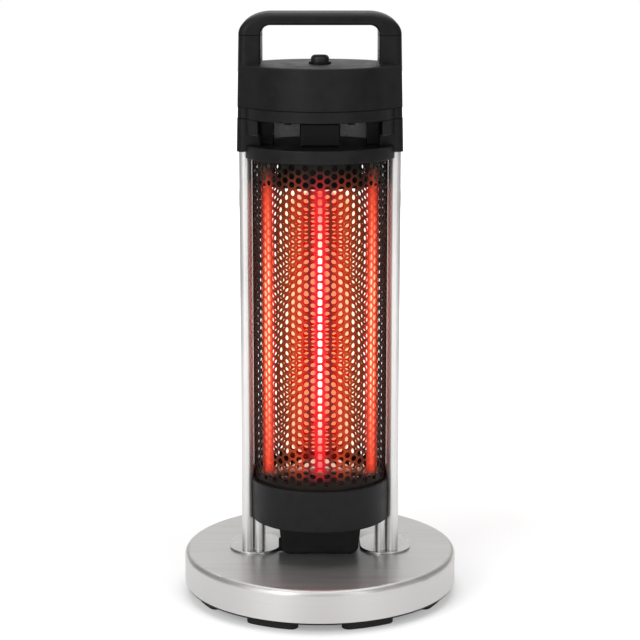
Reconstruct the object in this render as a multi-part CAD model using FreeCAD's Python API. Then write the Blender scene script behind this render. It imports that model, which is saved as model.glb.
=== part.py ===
import FreeCAD, Part
import math
import os

os.makedirs("parts", exist_ok=True)
V = FreeCAD.Vector
ORIGIN = V(0, 0, 0)
UP = V(0, 0, 1)
ACROSS = V(1, 0, 0)
SIDES = {"left": -1, "right": 1}

# Free-standing infrared heater. The origin is on the floor under the middle of
# the base, +Z is up, the front faces -Y. All lengths are in millimetres.

# Shared clearances
OVERRUN = 2.0
SLIP_FIT = 0.3
SCREW_PLAY = 0.15

# Base
BASE_RADIUS = 150.0
PAN_HEIGHT = 35.0
PAN_WALL = 2.0
PAN_EDGE_ROUND = 6.0
BASE_PLATE_INSET = 1.0
BASE_PLATE_THICK = 2.0
BALLAST_INSET = 12.0
BALLAST_THICK = 8.0
BALLAST_EYE_RADIUS = 30.0
STANDOFF_RADIUS = 7.0
STANDOFF_INSET = 55.0
STANDOFF_COUNT = 4
FOOT_HEIGHT = 10.0
FOOT_INSET = 10.0
FOOT_WIDTH = 15.0
FOOT_LENGTH = 58.0
FOOT_COUNT = 8
FOOT_EDGE_ROUND = 1.5

# Poles, their flanges and the short posts under the cup
SIDE_Y = 10.0
POLE_GAP = 0.8
POLE_WIDTH = 12.6
POLE_DEPTH = 54.0
POLE_Y = 4.0
POLE_WALL = 1.6
POLE_ROOF = 6.0
FLANGE_INSET = 7.6
FLANGE_WIDTH = 56.0
FLANGE_DEPTH = 72.0
FLANGE_THICK = 2.5
FLANGE_EDGE_ROUND = 1.0
ANCHOR_HEIGHT = 26.0
POLE_BOLT_SPACING = 24.0
POST_INSET = 12.8
POST_WIDTH = 11.0
POST_DEPTH = 54.0
POLE_CAP_RADIUS = 10.5
POLE_CAP_PROUD = 0.7
POLE_CAP_DROP = 51.0
POLE_CAP_Y = -1.0
POLE_CAP_STEM_RADIUS = 5.0
POLE_CAP_STEM_LENGTH = 3.0

# Terminal box under the cup
BOX_HEIGHT = 39.0
BOX_TOP_WIDTH = 91.0
BOX_BOTTOM_WIDTH = 83.0
BOX_FRONT_Y = -30.0
BOX_DEPTH = 60.0
BOX_WALL = 3.0
BOX_CORNER_ROUND = 10.0
BOX_EDGE_ROUND = 3.0
BOX_BOSS_RADIUS = 5.0
BOX_BOSS_HEIGHT = 12.0
BOX_BOSS_X = 22.0
BOX_BOSS_Y = 14.0
STRIP_LENGTH = 46.0
STRIP_DEPTH = 14.0
STRIP_HEIGHT = 12.0
STRIP_Y = -10.0
STRIP_POLES = 4
STRIP_SCREW_RADIUS = 1.8
STRIP_SCREW_HEIGHT = 1.2
GLAND_RADIUS = 7.5
GLAND_REACH = 4.0
GLAND_SHANK_RADIUS = 5.0
GLAND_BORE_RADIUS = 3.3
GLAND_Y = -20.0
GLAND_RISE = 8.5

# Cup that carries the guard and the lamps
CUP_RIM_WIDTH = 5.0
CUP_HEIGHT = 46.0
CUP_FLOOR = 3.0
CUP_EDGE_CHAMFER = 1.5
CUP_RIM_ROUND = 1.0
CUP_LEDGE_WIDTH = 3.5
CUP_LEDGE_DROP = 14.0
CUP_BOSS_RADIUS = 5.0
BOSS_INSET = 27.5
BOSS_COUNT = 3

# Perforated guard
GUARD_RADIUS = 72.5
GUARD_WALL = 1.0
GUARD_SHOWING = 351.5
GUARD_HOLE_RADIUS = 3.3
GUARD_COLUMN_WEB = 0.88
GUARD_ROW_PITCH = 8.8
GUARD_PLAIN_END = 3.0

# Lamp plates, holders, caps and lamps
LAMP_PLATE_GAP = 2.0
LAMP_PLATE_THICK = 1.5
LOWER_PLATE_DROP = 2.0
UPPER_PLATE_DROP = 27.5
LAMP_INSET = 15.5
LAMP_RADIUS = 6.0
LAMP_WALL = 1.1
HOLDER_RADIUS = 9.0
HOLDER_FLANGE_RADIUS = 12.0
HOLDER_FLANGE_THICK = 2.5
LOWER_HOLDER_LENGTH = 24.0
UPPER_HOLDER_DROP = 4.0
UPPER_HOLDER_RISE = 20.0
HOLDER_ROOF = 4.0
END_CAP_RADIUS = 7.0
END_CAP_LENGTH = 14.0
END_CAP_FLOOR = 2.0
FILAMENT_WIDTH = 4.4
FILAMENT_THICK = 0.9
CUTOUT_RADIUS = 8.0
CUTOUT_HEIGHT = 8.0

# Head
CAP_HEIGHT = 13.5
CAP_RECESS = 6.5
CAP_EDGE_ROUND = 1.2
CAP_SKIRT_INSET = 13.5
CAP_SKIRT_WALL = 1.5
VENT_HEIGHT = 28.0
CHEEK_DROP = 15.6
CHEEK_WALL = 3.0
CHEEK_OUTSET = 3.0
DUCT_WIDTH = 42.5
DUCT_FRONT_Y = -41.0
DUCT_DEPTH = 34.0
DUCT_BEVEL = 2.2
DUCT_NECK = 3.0
DUCT_NECK_INSET = 3.0
BAFFLE_INSET = 10.0
BAFFLE_THICK = 1.2
HEAD_OVERHANG = 9.5
RING_HEIGHT = 12.0
RING_FLOOR = 3.0
SEAM_STEP = 0.4
COVER_HEIGHT = 44.0
COVER_WALL = 3.5
COVER_TOP = 3.0
COVER_EDGE_CHAMFER = 1.2
HEAD_BOSS_RADIUS = 5.0
HEAD_BOSS_INSET = 16.0
HEAD_BOSS_ANGLES = (60, 120, 240, 300)

# Legs and grip
LEG_DEPTH = 70.0
LEG_INSET = 20.0
LEG_POLE_WALL = 2.3
LEG_LEAN = 2.7
LEG_CAP_LAP = 7.0
LEG_RISE = 30.6
LEG_WALL = 3.0
LEG_ROOF = 8.0
LEG_OUTER_ROUND = 8.0
LEG_INNER_ROUND = 3.0
SOCKET_ROOT_WIDTH = 12.0
SOCKET_ROOT_INSET = 12.0
GRIP_RISE = 23.4
GRIP_BAR_THICK = 12.8
GRIP_CORNER_WIDTH = 34.0
GRIP_CORNER_HEIGHT = 22.5
GRIP_INNER_ROUND = 10.0

# Power button and its switch
BUTTON_RADIUS = 9.7
BUTTON_PLAY = 0.35
BUTTON_RISE = 9.4
BUTTON_CROWN_ROUND = 4.2
BUTTON_TRAVEL = 3.5
BUTTON_LIP = 1.4
BUTTON_LIP_THICK = 2.0
BUTTON_STEM_RADIUS = 3.2
BUTTON_STEM_LENGTH = 14.0
COLLAR_WALL = 2.0
COLLAR_HEIGHT = 2.6
COLLAR_ROUND = 1.0
SWITCH_WIDTH = 24.0
SWITCH_HEIGHT = 30.0
SWITCH_CROWN_GAP = 0.7
SWITCH_BORE_DEPTH = 16.0
BRACKET_THICK = 1.5
BRACKET_LENGTH = 44.0

# Tip-over switch in the base
TIP_INSET = 65.0
TIP_WIDTH = 24.0
TIP_HEIGHT = 18.0
TIP_STEM_RADIUS = 3.0
TIP_COLLAR_RADIUS = 5.0
TIP_COLLAR_THICK = 2.5
TIP_TRAVEL = 6.0
TIP_PLAY = 0.4
TIP_FLOOR_GAP = 0.4
TIP_CHAMBER_FLOOR = 3.0
TIP_END_PLAY = 0.6

# Leads
LEAD_RADIUS = 1.5
LEAD_PLAY = 0.6
LEAD_BEND_RADIUS = 8.0
LAMP_LEAD_DIP = 9.0
LAMP_LEAD_GATHER_X = 12.0
POLE_LEAD_DEPTH = 9.0
POLE_LEAD_RISE_X = 10.0

# Screws and bolts: head radius, head height, shank radius
LARGE_SCREW = (5.0, 4.0, 2.5)
MEDIUM_SCREW = (4.0, 3.0, 2.0)
SMALL_SCREW = (3.2, 2.0, 1.6)
BASE_SCREW_GRIP = 24.0
POLE_BOLT_GRIP = 23.0
POST_BOLT_GRIP = 20.0
BOX_SCREW_GRIP = 12.0
PLATE_SCREW_GRIP = 10.0
HEAD_SCREW_GRIP = 18.0
SOCKET_SCREW_GRIP = 16.0
CAP_SCREW_GRIP = 16.0
GRIP_SCREW_GRIP = 18.0
SOCKET_SCREW_SPACING = 32.0

# Radii and places that follow from the base and the guard
base_plate_radius = BASE_RADIUS - BASE_PLATE_INSET
ballast_radius = BASE_RADIUS - BALLAST_INSET
standoff_circle_radius = BASE_RADIUS - STANDOFF_INSET
foot_outer_radius = BASE_RADIUS - FOOT_INSET
foot_inner_radius = foot_outer_radius - FOOT_WIDTH
tip_y = BASE_RADIUS - TIP_INSET
cup_radius = GUARD_RADIUS + CUP_RIM_WIDTH
guard_inner_radius = GUARD_RADIUS - GUARD_WALL
guard_column_pitch = GUARD_HOLE_RADIUS + GUARD_HOLE_RADIUS + GUARD_COLUMN_WEB
guard_half_columns = int(math.pi * guard_inner_radius / guard_column_pitch)
guard_half_turn = math.pi / (guard_half_columns + guard_half_columns)
cup_ledge_radius = GUARD_RADIUS - CUP_LEDGE_WIDTH
boss_circle_radius = GUARD_RADIUS - BOSS_INSET
lamp_plate_radius = GUARD_RADIUS - LAMP_PLATE_GAP
lamp_spacing = GUARD_RADIUS - LAMP_INSET
cap_skirt_radius = lamp_spacing - CAP_SKIRT_INSET
pole_inner_x = GUARD_RADIUS + POLE_GAP
pole_x = pole_inner_x + POLE_WIDTH / 2
pole_outer_x = pole_inner_x + POLE_WIDTH
flange_x = pole_x - FLANGE_INSET
post_x = pole_x - POST_INSET
head_radius = GUARD_RADIUS + HEAD_OVERHANG
head_boss_circle_radius = head_radius - HEAD_BOSS_INSET
baffle_radius = head_radius - BAFFLE_INSET
leg_inner_x = head_radius - LEG_INSET
leg_outer_x_low = pole_outer_x + LEG_POLE_WALL
leg_outer_x_high = leg_outer_x_low - LEG_LEAN
leg_front = SIDE_Y - LEG_DEPTH / 2
leg_back = SIDE_Y + LEG_DEPTH / 2
cheek_inner_x = leg_inner_x + CHEEK_OUTSET
socket_inner_x = leg_inner_x - SOCKET_ROOT_WIDTH
socket_screw_x = leg_inner_x - SOCKET_ROOT_WIDTH / 2

# Levels, from the floor up
pan_bottom = FOOT_HEIGHT + BASE_PLATE_THICK
base_top = pan_bottom + PAN_HEIGHT
pan_roof = base_top - PAN_WALL
ballast_top = pan_bottom + BALLAST_THICK
flange_top = base_top + FLANGE_THICK
cup_bottom = base_top + BOX_HEIGHT
cup_floor_top = cup_bottom + CUP_FLOOR
cup_top = cup_bottom + CUP_HEIGHT
cup_ledge = cup_top - CUP_LEDGE_DROP
cap_bottom = cup_top + GUARD_SHOWING
cap_top = cap_bottom + CAP_HEIGHT
cap_ceiling = cap_bottom + CAP_RECESS
ring_bottom = cap_top + VENT_HEIGHT
cheek_bottom = ring_bottom - CHEEK_DROP
ring_floor_top = ring_bottom + RING_FLOOR
cover_bottom = ring_bottom + RING_HEIGHT
head_top = cover_bottom + COVER_HEIGHT
cover_ceiling = head_top - COVER_TOP
grip_bottom = head_top + LEG_RISE
grip_top = grip_bottom + GRIP_RISE
leg_bottom = cap_top - LEG_CAP_LAP
leg_ceiling = grip_bottom - LEG_ROOF
pole_top = ring_bottom - POLE_ROOF
pole_cap_height = leg_bottom - POLE_CAP_DROP
lower_plate_bottom = cup_top - LOWER_PLATE_DROP
lower_plate_top = lower_plate_bottom + LAMP_PLATE_THICK
upper_plate_bottom = cap_bottom - UPPER_PLATE_DROP
upper_plate_top = upper_plate_bottom + LAMP_PLATE_THICK
lower_holder_top = lower_plate_top + HOLDER_FLANGE_THICK
lower_holder_bottom = lower_plate_top - LOWER_HOLDER_LENGTH
upper_holder_bottom = upper_plate_bottom - UPPER_HOLDER_DROP
upper_holder_top = upper_plate_top + UPPER_HOLDER_RISE
lower_socket_floor = lower_holder_bottom + HOLDER_ROOF
upper_socket_ceiling = upper_holder_top - HOLDER_ROOF
lamp_bottom = lower_socket_floor + END_CAP_FLOOR
lamp_top = upper_socket_ceiling - SLIP_FIT - END_CAP_FLOOR

# Places shared by several pieces
box_floor_top = base_top + BOX_WALL
strip_top = box_floor_top + STRIP_HEIGHT
lamp_places = [(place * lamp_spacing, 0) for place in (-1, 0, 1)]


def around(radius, count, start_degrees):
    """Points evenly spaced on a circle about the heater's axis."""
    angles = [math.radians(start_degrees + step * 360 / count) for step in range(count)]
    return [(radius * math.cos(angle), radius * math.sin(angle)) for angle in angles]


standoff_places = around(standoff_circle_radius, STANDOFF_COUNT, 45)
boss_places = around(boss_circle_radius, BOSS_COUNT, 90)
head_boss_places = [
    (head_boss_circle_radius * math.cos(math.radians(angle)),
     head_boss_circle_radius * math.sin(math.radians(angle)))
    for angle in HEAD_BOSS_ANGLES
]
box_boss_places = [(side * BOX_BOSS_X, BOX_BOSS_Y) for side in SIDES.values()]
pole_bolt_places = [
    (side * pole_x, POLE_Y + end * POLE_BOLT_SPACING / 2)
    for side in SIDES.values() for end in (-1, 1)
]
post_places = [(side * post_x, POLE_Y) for side in SIDES.values()]
socket_screw_places = [
    (side * socket_screw_x, SIDE_Y + end * SOCKET_SCREW_SPACING / 2)
    for side in SIDES.values() for end in (-1, 1)
]
grip_screw_x = (leg_inner_x + leg_outer_x_high) / 2
grip_screw_places = [
    (side * grip_screw_x, SIDE_Y + end * SOCKET_SCREW_SPACING / 2)
    for side in SIDES.values() for end in (-1, 1)
]
pole_lead_place = (-pole_x, POLE_Y)
pole_lead_box_place = (-POLE_LEAD_RISE_X, POLE_Y)


def cylinder(radius, bottom, top, place=(0, 0)):
    return Part.makeCylinder(radius, top - bottom, V(place[0], place[1], bottom))


def tube(outer, inner, bottom, top, place=(0, 0)):
    bore = cylinder(inner, bottom - OVERRUN, top + OVERRUN, place)
    return cylinder(outer, bottom, top, place).cut(bore)


def box(x_range, y_range, z_range):
    size = [high - low for low, high in (x_range, y_range, z_range)]
    return Part.makeBox(*size, V(x_range[0], y_range[0], z_range[0]))


def mirrored(shape):
    return shape.mirror(ORIGIN, ACROSS)


def on_side(shape, side):
    """The right-hand piece as it is, or mirrored to the left."""
    return shape if side > 0 else mirrored(shape)


def edges_at_height(shape, height):
    """Edges that lie flat at one height."""
    flat = []
    for edge in shape.Edges:
        bounds = edge.BoundBox
        if abs(bounds.ZMin - height) + abs(bounds.ZMax - height) < Part.Precision.approximation():
            flat.append(edge)
    return flat


def rounded_rectangle(x_range, y_range, height, x_low_round, x_high_round):
    """A level outline whose corners have one radius at low x and one at high x."""
    x_low, x_high = x_range
    y_low, y_high = y_range
    corners = [
        (x_low, y_low, x_low_round, 1, 1),
        (x_high, y_low, x_high_round, -1, 1),
        (x_high, y_high, x_high_round, -1, -1),
        (x_low, y_high, x_low_round, 1, -1),
    ]
    ends = []
    diagonal_share = 1 - math.sqrt(0.5)
    for index, (x, y, radius, into_x, into_y) in enumerate(corners):
        along_x = V(x + into_x * radius, y, height)
        along_y = V(x, y + into_y * radius, height)
        shift = radius * diagonal_share
        middle = V(x + into_x * shift, y + into_y * shift, height)
        first, last = (along_y, along_x) if index % 2 == 0 else (along_x, along_y)
        ends.append((first, middle, last))
    edges = []
    for index, (first, middle, last) in enumerate(ends):
        edges.append(Part.Arc(first, middle, last).toShape())
        edges.append(Part.LineSegment(last, ends[(index + 1) % len(ends)][0]).toShape())
    return Part.Wire(edges)


def oval_bar(x, width, depth, bottom, top):
    """An upright bar of flat-oval section, in line with the poles from front to back."""
    straight = (depth - width) / 2
    core = box((x - width / 2, x + width / 2), (POLE_Y - straight, POLE_Y + straight), (bottom, top))
    ends = [cylinder(width / 2, bottom, top, (x, POLE_Y + end * straight)) for end in (-1, 1)]
    return core.fuse(ends).removeSplitter()


def flat_oval(grow, bottom, top):
    """The right pole's section, grown outwards, between two heights."""
    return oval_bar(pole_x, POLE_WIDTH + grow + grow, POLE_DEPTH + grow + grow, bottom, top)


def screw(place, seat, size, grip, direction):
    """A screw whose head seats at one height, with its shank pointing up (1) or down (-1)."""
    head_radius, head_height, shank_radius = size
    tip = seat + direction * grip
    crown = seat - direction * head_height
    head = cylinder(head_radius, min(seat, crown), max(seat, crown), place)
    shank = cylinder(shank_radius, min(seat, tip), max(seat, tip), place)
    return head.fuse(shank).removeSplitter()


def holes(places, size, bottom, top):
    """Drills for the shanks of a set of screws."""
    radius = size[2] + SCREW_PLAY
    return [cylinder(radius, bottom, top, place) for place in places]


def lead(points):
    """A wire of straight runs joined by tangent arcs."""
    corners = [V(*point) for point in points]
    edges = []
    start = corners[0]
    for before, corner, after in zip(corners, corners[1:], corners[2:]):
        back = (before - corner).normalize()
        onward = (after - corner).normalize()
        half_turn = (math.pi - back.getAngle(onward)) / 2
        reach = LEAD_BEND_RADIUS * math.tan(half_turn)
        into = corner + back * reach
        out = corner + onward * reach
        inward = (back + onward).normalize()
        centre_distance = LEAD_BEND_RADIUS / math.cos(half_turn)
        middle = corner + inward * (centre_distance - LEAD_BEND_RADIUS)
        edges.append(Part.LineSegment(start, into).toShape())
        edges.append(Part.Arc(into, middle, out).toShape())
        start = out
    edges.append(Part.LineSegment(start, corners[-1]).toShape())
    path = Part.Wire(edges)
    section = Part.Wire(Part.makeCircle(LEAD_RADIUS, corners[0], corners[1] - corners[0]))
    return path.makePipeShell([section], True, False)


def save(name, *solids):
    shape = solids[0] if len(solids) == 1 else Part.makeCompound(list(solids))
    shape.exportStep("parts/" + name + ".step")


# Base: pan, bottom plate, ballast, standoffs, screws and feet

def make_base_pan():
    pan = cylinder(BASE_RADIUS, pan_bottom, base_top)
    pan = pan.makeFillet(PAN_EDGE_ROUND, edges_at_height(pan, base_top))
    inside = cylinder(BASE_RADIUS - PAN_WALL, pan_bottom - OVERRUN, pan_roof)
    inside = inside.makeFillet(PAN_EDGE_ROUND - PAN_WALL, edges_at_height(inside, pan_roof))
    drills = holes(pole_bolt_places + post_places, LARGE_SCREW, pan_bottom, base_top + OVERRUN)
    drills += holes(box_boss_places, MEDIUM_SCREW, pan_bottom, base_top + OVERRUN)
    for place in (pole_lead_place, pole_lead_box_place):
        drills.append(cylinder(LEAD_RADIUS + LEAD_PLAY, pan_bottom, base_top + OVERRUN, place))
    return pan.cut([inside] + drills)


def make_base_plate():
    plate = cylinder(base_plate_radius, FOOT_HEIGHT, pan_bottom)
    drills = holes(standoff_places, LARGE_SCREW, FOOT_HEIGHT - OVERRUN, pan_bottom + OVERRUN)
    stem_hole = cylinder(TIP_STEM_RADIUS + TIP_PLAY, FOOT_HEIGHT - OVERRUN, pan_bottom + OVERRUN, (0, tip_y))
    return plate.cut(drills + [stem_hole])


def make_base_ballast():
    ballast = tube(ballast_radius, BALLAST_EYE_RADIUS, pan_bottom, ballast_top)
    drills = holes(standoff_places, LARGE_SCREW, pan_bottom - OVERRUN, ballast_top + OVERRUN)
    half = TIP_WIDTH / 2 + SLIP_FIT
    window = box((-half, half), (tip_y - half, tip_y + half), (pan_bottom - OVERRUN, ballast_top + OVERRUN))
    return ballast.cut(drills + [window])


def make_base_standoff(place):
    post = cylinder(STANDOFF_RADIUS, ballast_top, pan_roof, place)
    return post.cut(holes([place], LARGE_SCREW, ballast_top - OVERRUN, FOOT_HEIGHT + BASE_SCREW_GRIP))


def make_foot(angle):
    middle_radius = (foot_inner_radius + foot_outer_radius) / 2
    end_radius = (foot_outer_radius - foot_inner_radius) / 2
    half_angle = (FOOT_LENGTH / 2 - end_radius) / middle_radius

    def at(radius, turn):
        return V(radius * math.cos(turn), radius * math.sin(turn), 0)

    def end_tip(turn, way):
        along = V(-math.sin(turn), math.cos(turn), 0)
        return at(middle_radius, turn) + along * (way * end_radius)

    low = angle - half_angle
    high = angle + half_angle
    edges = [
        Part.Arc(at(foot_outer_radius, low), at(foot_outer_radius, angle), at(foot_outer_radius, high)),
        Part.Arc(at(foot_outer_radius, high), end_tip(high, 1), at(foot_inner_radius, high)),
        Part.Arc(at(foot_inner_radius, high), at(foot_inner_radius, angle), at(foot_inner_radius, low)),
        Part.Arc(at(foot_inner_radius, low), end_tip(low, -1), at(foot_outer_radius, low)),
    ]
    outline = Part.Wire([edge.toShape() for edge in edges])
    pad = Part.Face(outline).extrude(UP * FOOT_HEIGHT)
    return pad.makeFillet(FOOT_EDGE_ROUND, edges_at_height(pad, 0))


foot_angles = [math.radians((step + 0.5) * 360 / FOOT_COUNT) for step in range(FOOT_COUNT)]
save("base_pan", make_base_pan())
save("base_plate", make_base_plate())
save("base_ballast", make_base_ballast())
save("base_standoffs", *[make_base_standoff(place) for place in standoff_places])
save("base_screws",
     *[screw(place, FOOT_HEIGHT, LARGE_SCREW, BASE_SCREW_GRIP, 1) for place in standoff_places])
save("base_feet", *[make_foot(angle) for angle in foot_angles])


# Poles: flange, extrusion, anchor block, side cap and the posts under the cup

def make_flange():
    plate = oval_bar(flange_x, FLANGE_WIDTH, FLANGE_DEPTH, base_top, flange_top)
    plate = plate.makeFillet(FLANGE_EDGE_ROUND, edges_at_height(plate, flange_top))
    places = [place for place in pole_bolt_places + post_places if place[0] > 0]
    drills = holes(places, LARGE_SCREW, base_top - OVERRUN, flange_top + OVERRUN)
    lead_hole = cylinder(LEAD_RADIUS + LEAD_PLAY, base_top - OVERRUN, flange_top + OVERRUN, (pole_x, POLE_Y))
    return plate.cut(drills + [lead_hole])


def pole_cap_drill(radius, inner_x, outer_x):
    """A cylinder that runs outwards through the right pole's side."""
    return Part.makeCylinder(radius, outer_x - inner_x, V(inner_x, POLE_CAP_Y, pole_cap_height), ACROSS)


def make_pole():
    outside = flat_oval(0, flange_top, pole_top)
    inside = flat_oval(-POLE_WALL, flange_top - OVERRUN, pole_top + OVERRUN)
    shell = outside.cut(inside)
    stem_hole = pole_cap_drill(POLE_CAP_STEM_RADIUS + SCREW_PLAY, pole_x, pole_x + POLE_WIDTH)
    return shell.cut(stem_hole)


def make_pole_anchor():
    anchor = flat_oval(-POLE_WALL - SCREW_PLAY, flange_top, flange_top + ANCHOR_HEIGHT)
    places = [place for place in pole_bolt_places if place[0] > 0]
    drills = holes(places, LARGE_SCREW, flange_top - OVERRUN, pan_roof + POLE_BOLT_GRIP)
    lead_hole = cylinder(LEAD_RADIUS + LEAD_PLAY, flange_top - OVERRUN,
                         flange_top + ANCHOR_HEIGHT + OVERRUN, (pole_x, POLE_Y))
    return anchor.cut(drills + [lead_hole])


def make_pole_cap():
    low = pole_cap_height - POLE_CAP_RADIUS - OVERRUN
    high = pole_cap_height + POLE_CAP_RADIUS + OVERRUN
    skin = flat_oval(POLE_CAP_PROUD, low, high).cut(flat_oval(0, low - OVERRUN, high + OVERRUN))
    cap = skin.common(pole_cap_drill(POLE_CAP_RADIUS, pole_x, pole_x + POLE_WIDTH))
    pole_face = pole_x + POLE_WIDTH / 2
    stem = pole_cap_drill(POLE_CAP_STEM_RADIUS, pole_face - POLE_CAP_STEM_LENGTH, pole_face)
    return cap.fuse(stem).removeSplitter()


def make_cup_post():
    post = oval_bar(post_x, POST_WIDTH, POST_DEPTH, flange_top, cup_bottom)
    return post.cut(holes([(post_x, POLE_Y)], LARGE_SCREW, flange_top - OVERRUN, pan_roof + POST_BOLT_GRIP))


for side_name, side in SIDES.items():
    save("pole_flange_" + side_name, on_side(make_flange(), side))
    save("pole_" + side_name, on_side(make_pole(), side))
    save("pole_anchor_" + side_name, on_side(make_pole_anchor(), side))
    save("pole_side_cap_" + side_name, on_side(make_pole_cap(), side))
    save("cup_post_" + side_name, on_side(make_cup_post(), side))
save("pole_bolts", *[screw(place, pan_roof, LARGE_SCREW, POLE_BOLT_GRIP, 1) for place in pole_bolt_places])
save("post_bolts", *[screw(place, pan_roof, LARGE_SCREW, POST_BOLT_GRIP, 1) for place in post_places])


# Terminal box: housing, terminal strip, cable gland and screws

def box_outline(inset, bottom, top):
    """The tapered front outline of the terminal box, with rounded lower corners."""
    slope = (BOX_TOP_WIDTH - BOX_BOTTOM_WIDTH) / 2 / BOX_HEIGHT

    def half_width(height):
        return BOX_BOTTOM_WIDTH / 2 + slope * (height - base_top) - inset

    points = [
        V(-half_width(bottom), BOX_FRONT_Y + inset, bottom),
        V(half_width(bottom), BOX_FRONT_Y + inset, bottom),
        V(half_width(top), BOX_FRONT_Y + inset, top),
        V(-half_width(top), BOX_FRONT_Y + inset, top),
    ]
    outline = Part.makePolygon(points + points[:1])
    return Part.Face(outline).extrude(V(0, BOX_DEPTH - inset - inset, 0))


def lower_side_edges(shape, bottom):
    """The two lower edges that run from front to back."""
    return [edge for edge in edges_at_height(shape, bottom) if edge.BoundBox.YLength > edge.BoundBox.XLength]


def upright_edges(shape):
    """Edges that climb the sides of a piece, at its front and back."""
    return [edge for edge in shape.Edges
            if edge.BoundBox.ZLength > edge.BoundBox.XLength and edge.BoundBox.YLength < SLIP_FIT]


def make_box_body():
    body = box_outline(0, base_top, cup_bottom)
    body = body.makeFillet(BOX_CORNER_ROUND, lower_side_edges(body, base_top))
    return body.makeFillet(BOX_EDGE_ROUND, upright_edges(body))


def make_terminal_box():
    hollow = box_outline(BOX_WALL, box_floor_top, cup_bottom + OVERRUN)
    hollow = hollow.makeFillet(BOX_CORNER_ROUND - BOX_WALL, lower_side_edges(hollow, box_floor_top))
    bosses = [cylinder(BOX_BOSS_RADIUS, base_top, box_floor_top + BOX_BOSS_HEIGHT, place)
              for place in box_boss_places]
    housing = make_box_body().cut(hollow).fuse(bosses).removeSplitter()
    drills = holes(box_boss_places, MEDIUM_SCREW, base_top - OVERRUN, pan_roof + BOX_SCREW_GRIP)
    gland_hole = gland_rod(GLAND_SHANK_RADIUS + SCREW_PLAY, BOX_BOTTOM_WIDTH, BOX_BOTTOM_WIDTH)
    lead_hole = cylinder(LEAD_RADIUS + LEAD_PLAY, base_top - OVERRUN, box_floor_top + OVERRUN,
                         pole_lead_box_place)
    return housing.cut(drills + [gland_hole, lead_hole])


def gland_rod(radius, reach, length):
    """A rod through the box's left wall, from a reach to the left of the axis inwards."""
    return Part.makeCylinder(radius, length, V(-reach, GLAND_Y, base_top + GLAND_RISE), ACROSS)


def make_cable_gland():
    wall_x = BOX_BOTTOM_WIDTH / 2
    nut = gland_rod(GLAND_RADIUS, wall_x + GLAND_REACH, GLAND_REACH + BOX_CORNER_ROUND)
    nut = nut.makeFillet(FLANGE_EDGE_ROUND, [nut.Edges[0], nut.Edges[2]])
    nut = nut.cut(make_box_body())
    shank = gland_rod(GLAND_SHANK_RADIUS, wall_x + GLAND_REACH / 2, GLAND_REACH / 2 + BOX_WALL + BOX_WALL)
    bore = gland_rod(GLAND_BORE_RADIUS, BOX_TOP_WIDTH, BOX_TOP_WIDTH)
    return nut.fuse(shank).cut(bore).removeSplitter()


def make_terminal_strip():
    half = STRIP_LENGTH / 2
    return box((-half, half), (STRIP_Y - STRIP_DEPTH / 2, STRIP_Y + STRIP_DEPTH / 2),
               (box_floor_top, strip_top))


strip_pitch = STRIP_LENGTH / STRIP_POLES
strip_places = [((index + 0.5) * strip_pitch - STRIP_LENGTH / 2, STRIP_Y + end * STRIP_DEPTH / 4)
                for index in range(STRIP_POLES) for end in (-1, 1)]
save("terminal_box", make_terminal_box())
save("cable_gland", make_cable_gland())
save("terminal_strip", make_terminal_strip())
save("terminal_screws", *[cylinder(STRIP_SCREW_RADIUS, strip_top, strip_top + STRIP_SCREW_HEIGHT, place)
                          for place in strip_places])
save("terminal_box_screws", *[screw(place, pan_roof, MEDIUM_SCREW, BOX_SCREW_GRIP, 1)
                              for place in box_boss_places])


# Cup, guard and lamp plates

def make_lamp_cup():
    cup = cylinder(cup_radius, cup_bottom, cup_top)
    cup = cup.makeChamfer(CUP_EDGE_CHAMFER, edges_at_height(cup, cup_bottom))
    cup = cup.makeFillet(CUP_RIM_ROUND, edges_at_height(cup, cup_top))
    well = cylinder(cup_ledge_radius, cup_floor_top, cup_top + OVERRUN)
    seat = cylinder(GUARD_RADIUS + SLIP_FIT, cup_ledge, cup_top + OVERRUN)
    bosses = [cylinder(CUP_BOSS_RADIUS, cup_bottom, lower_plate_bottom, place) for place in boss_places]
    cup = cup.cut([well, seat]).fuse(bosses).removeSplitter()
    notch = flat_oval(SLIP_FIT, cup_bottom - OVERRUN, cup_top + OVERRUN)
    drills = holes(boss_places, SMALL_SCREW, lower_plate_top - PLATE_SCREW_GRIP, lower_plate_top)
    for x, y in lamp_places:
        gathered = (x / lamp_spacing * LAMP_LEAD_GATHER_X, y)
        drills.append(cylinder(LEAD_RADIUS + LEAD_PLAY, cup_bottom - OVERRUN, cup_floor_top + OVERRUN,
                               gathered))
    return cup.cut([notch, mirrored(notch)] + drills)


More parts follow.
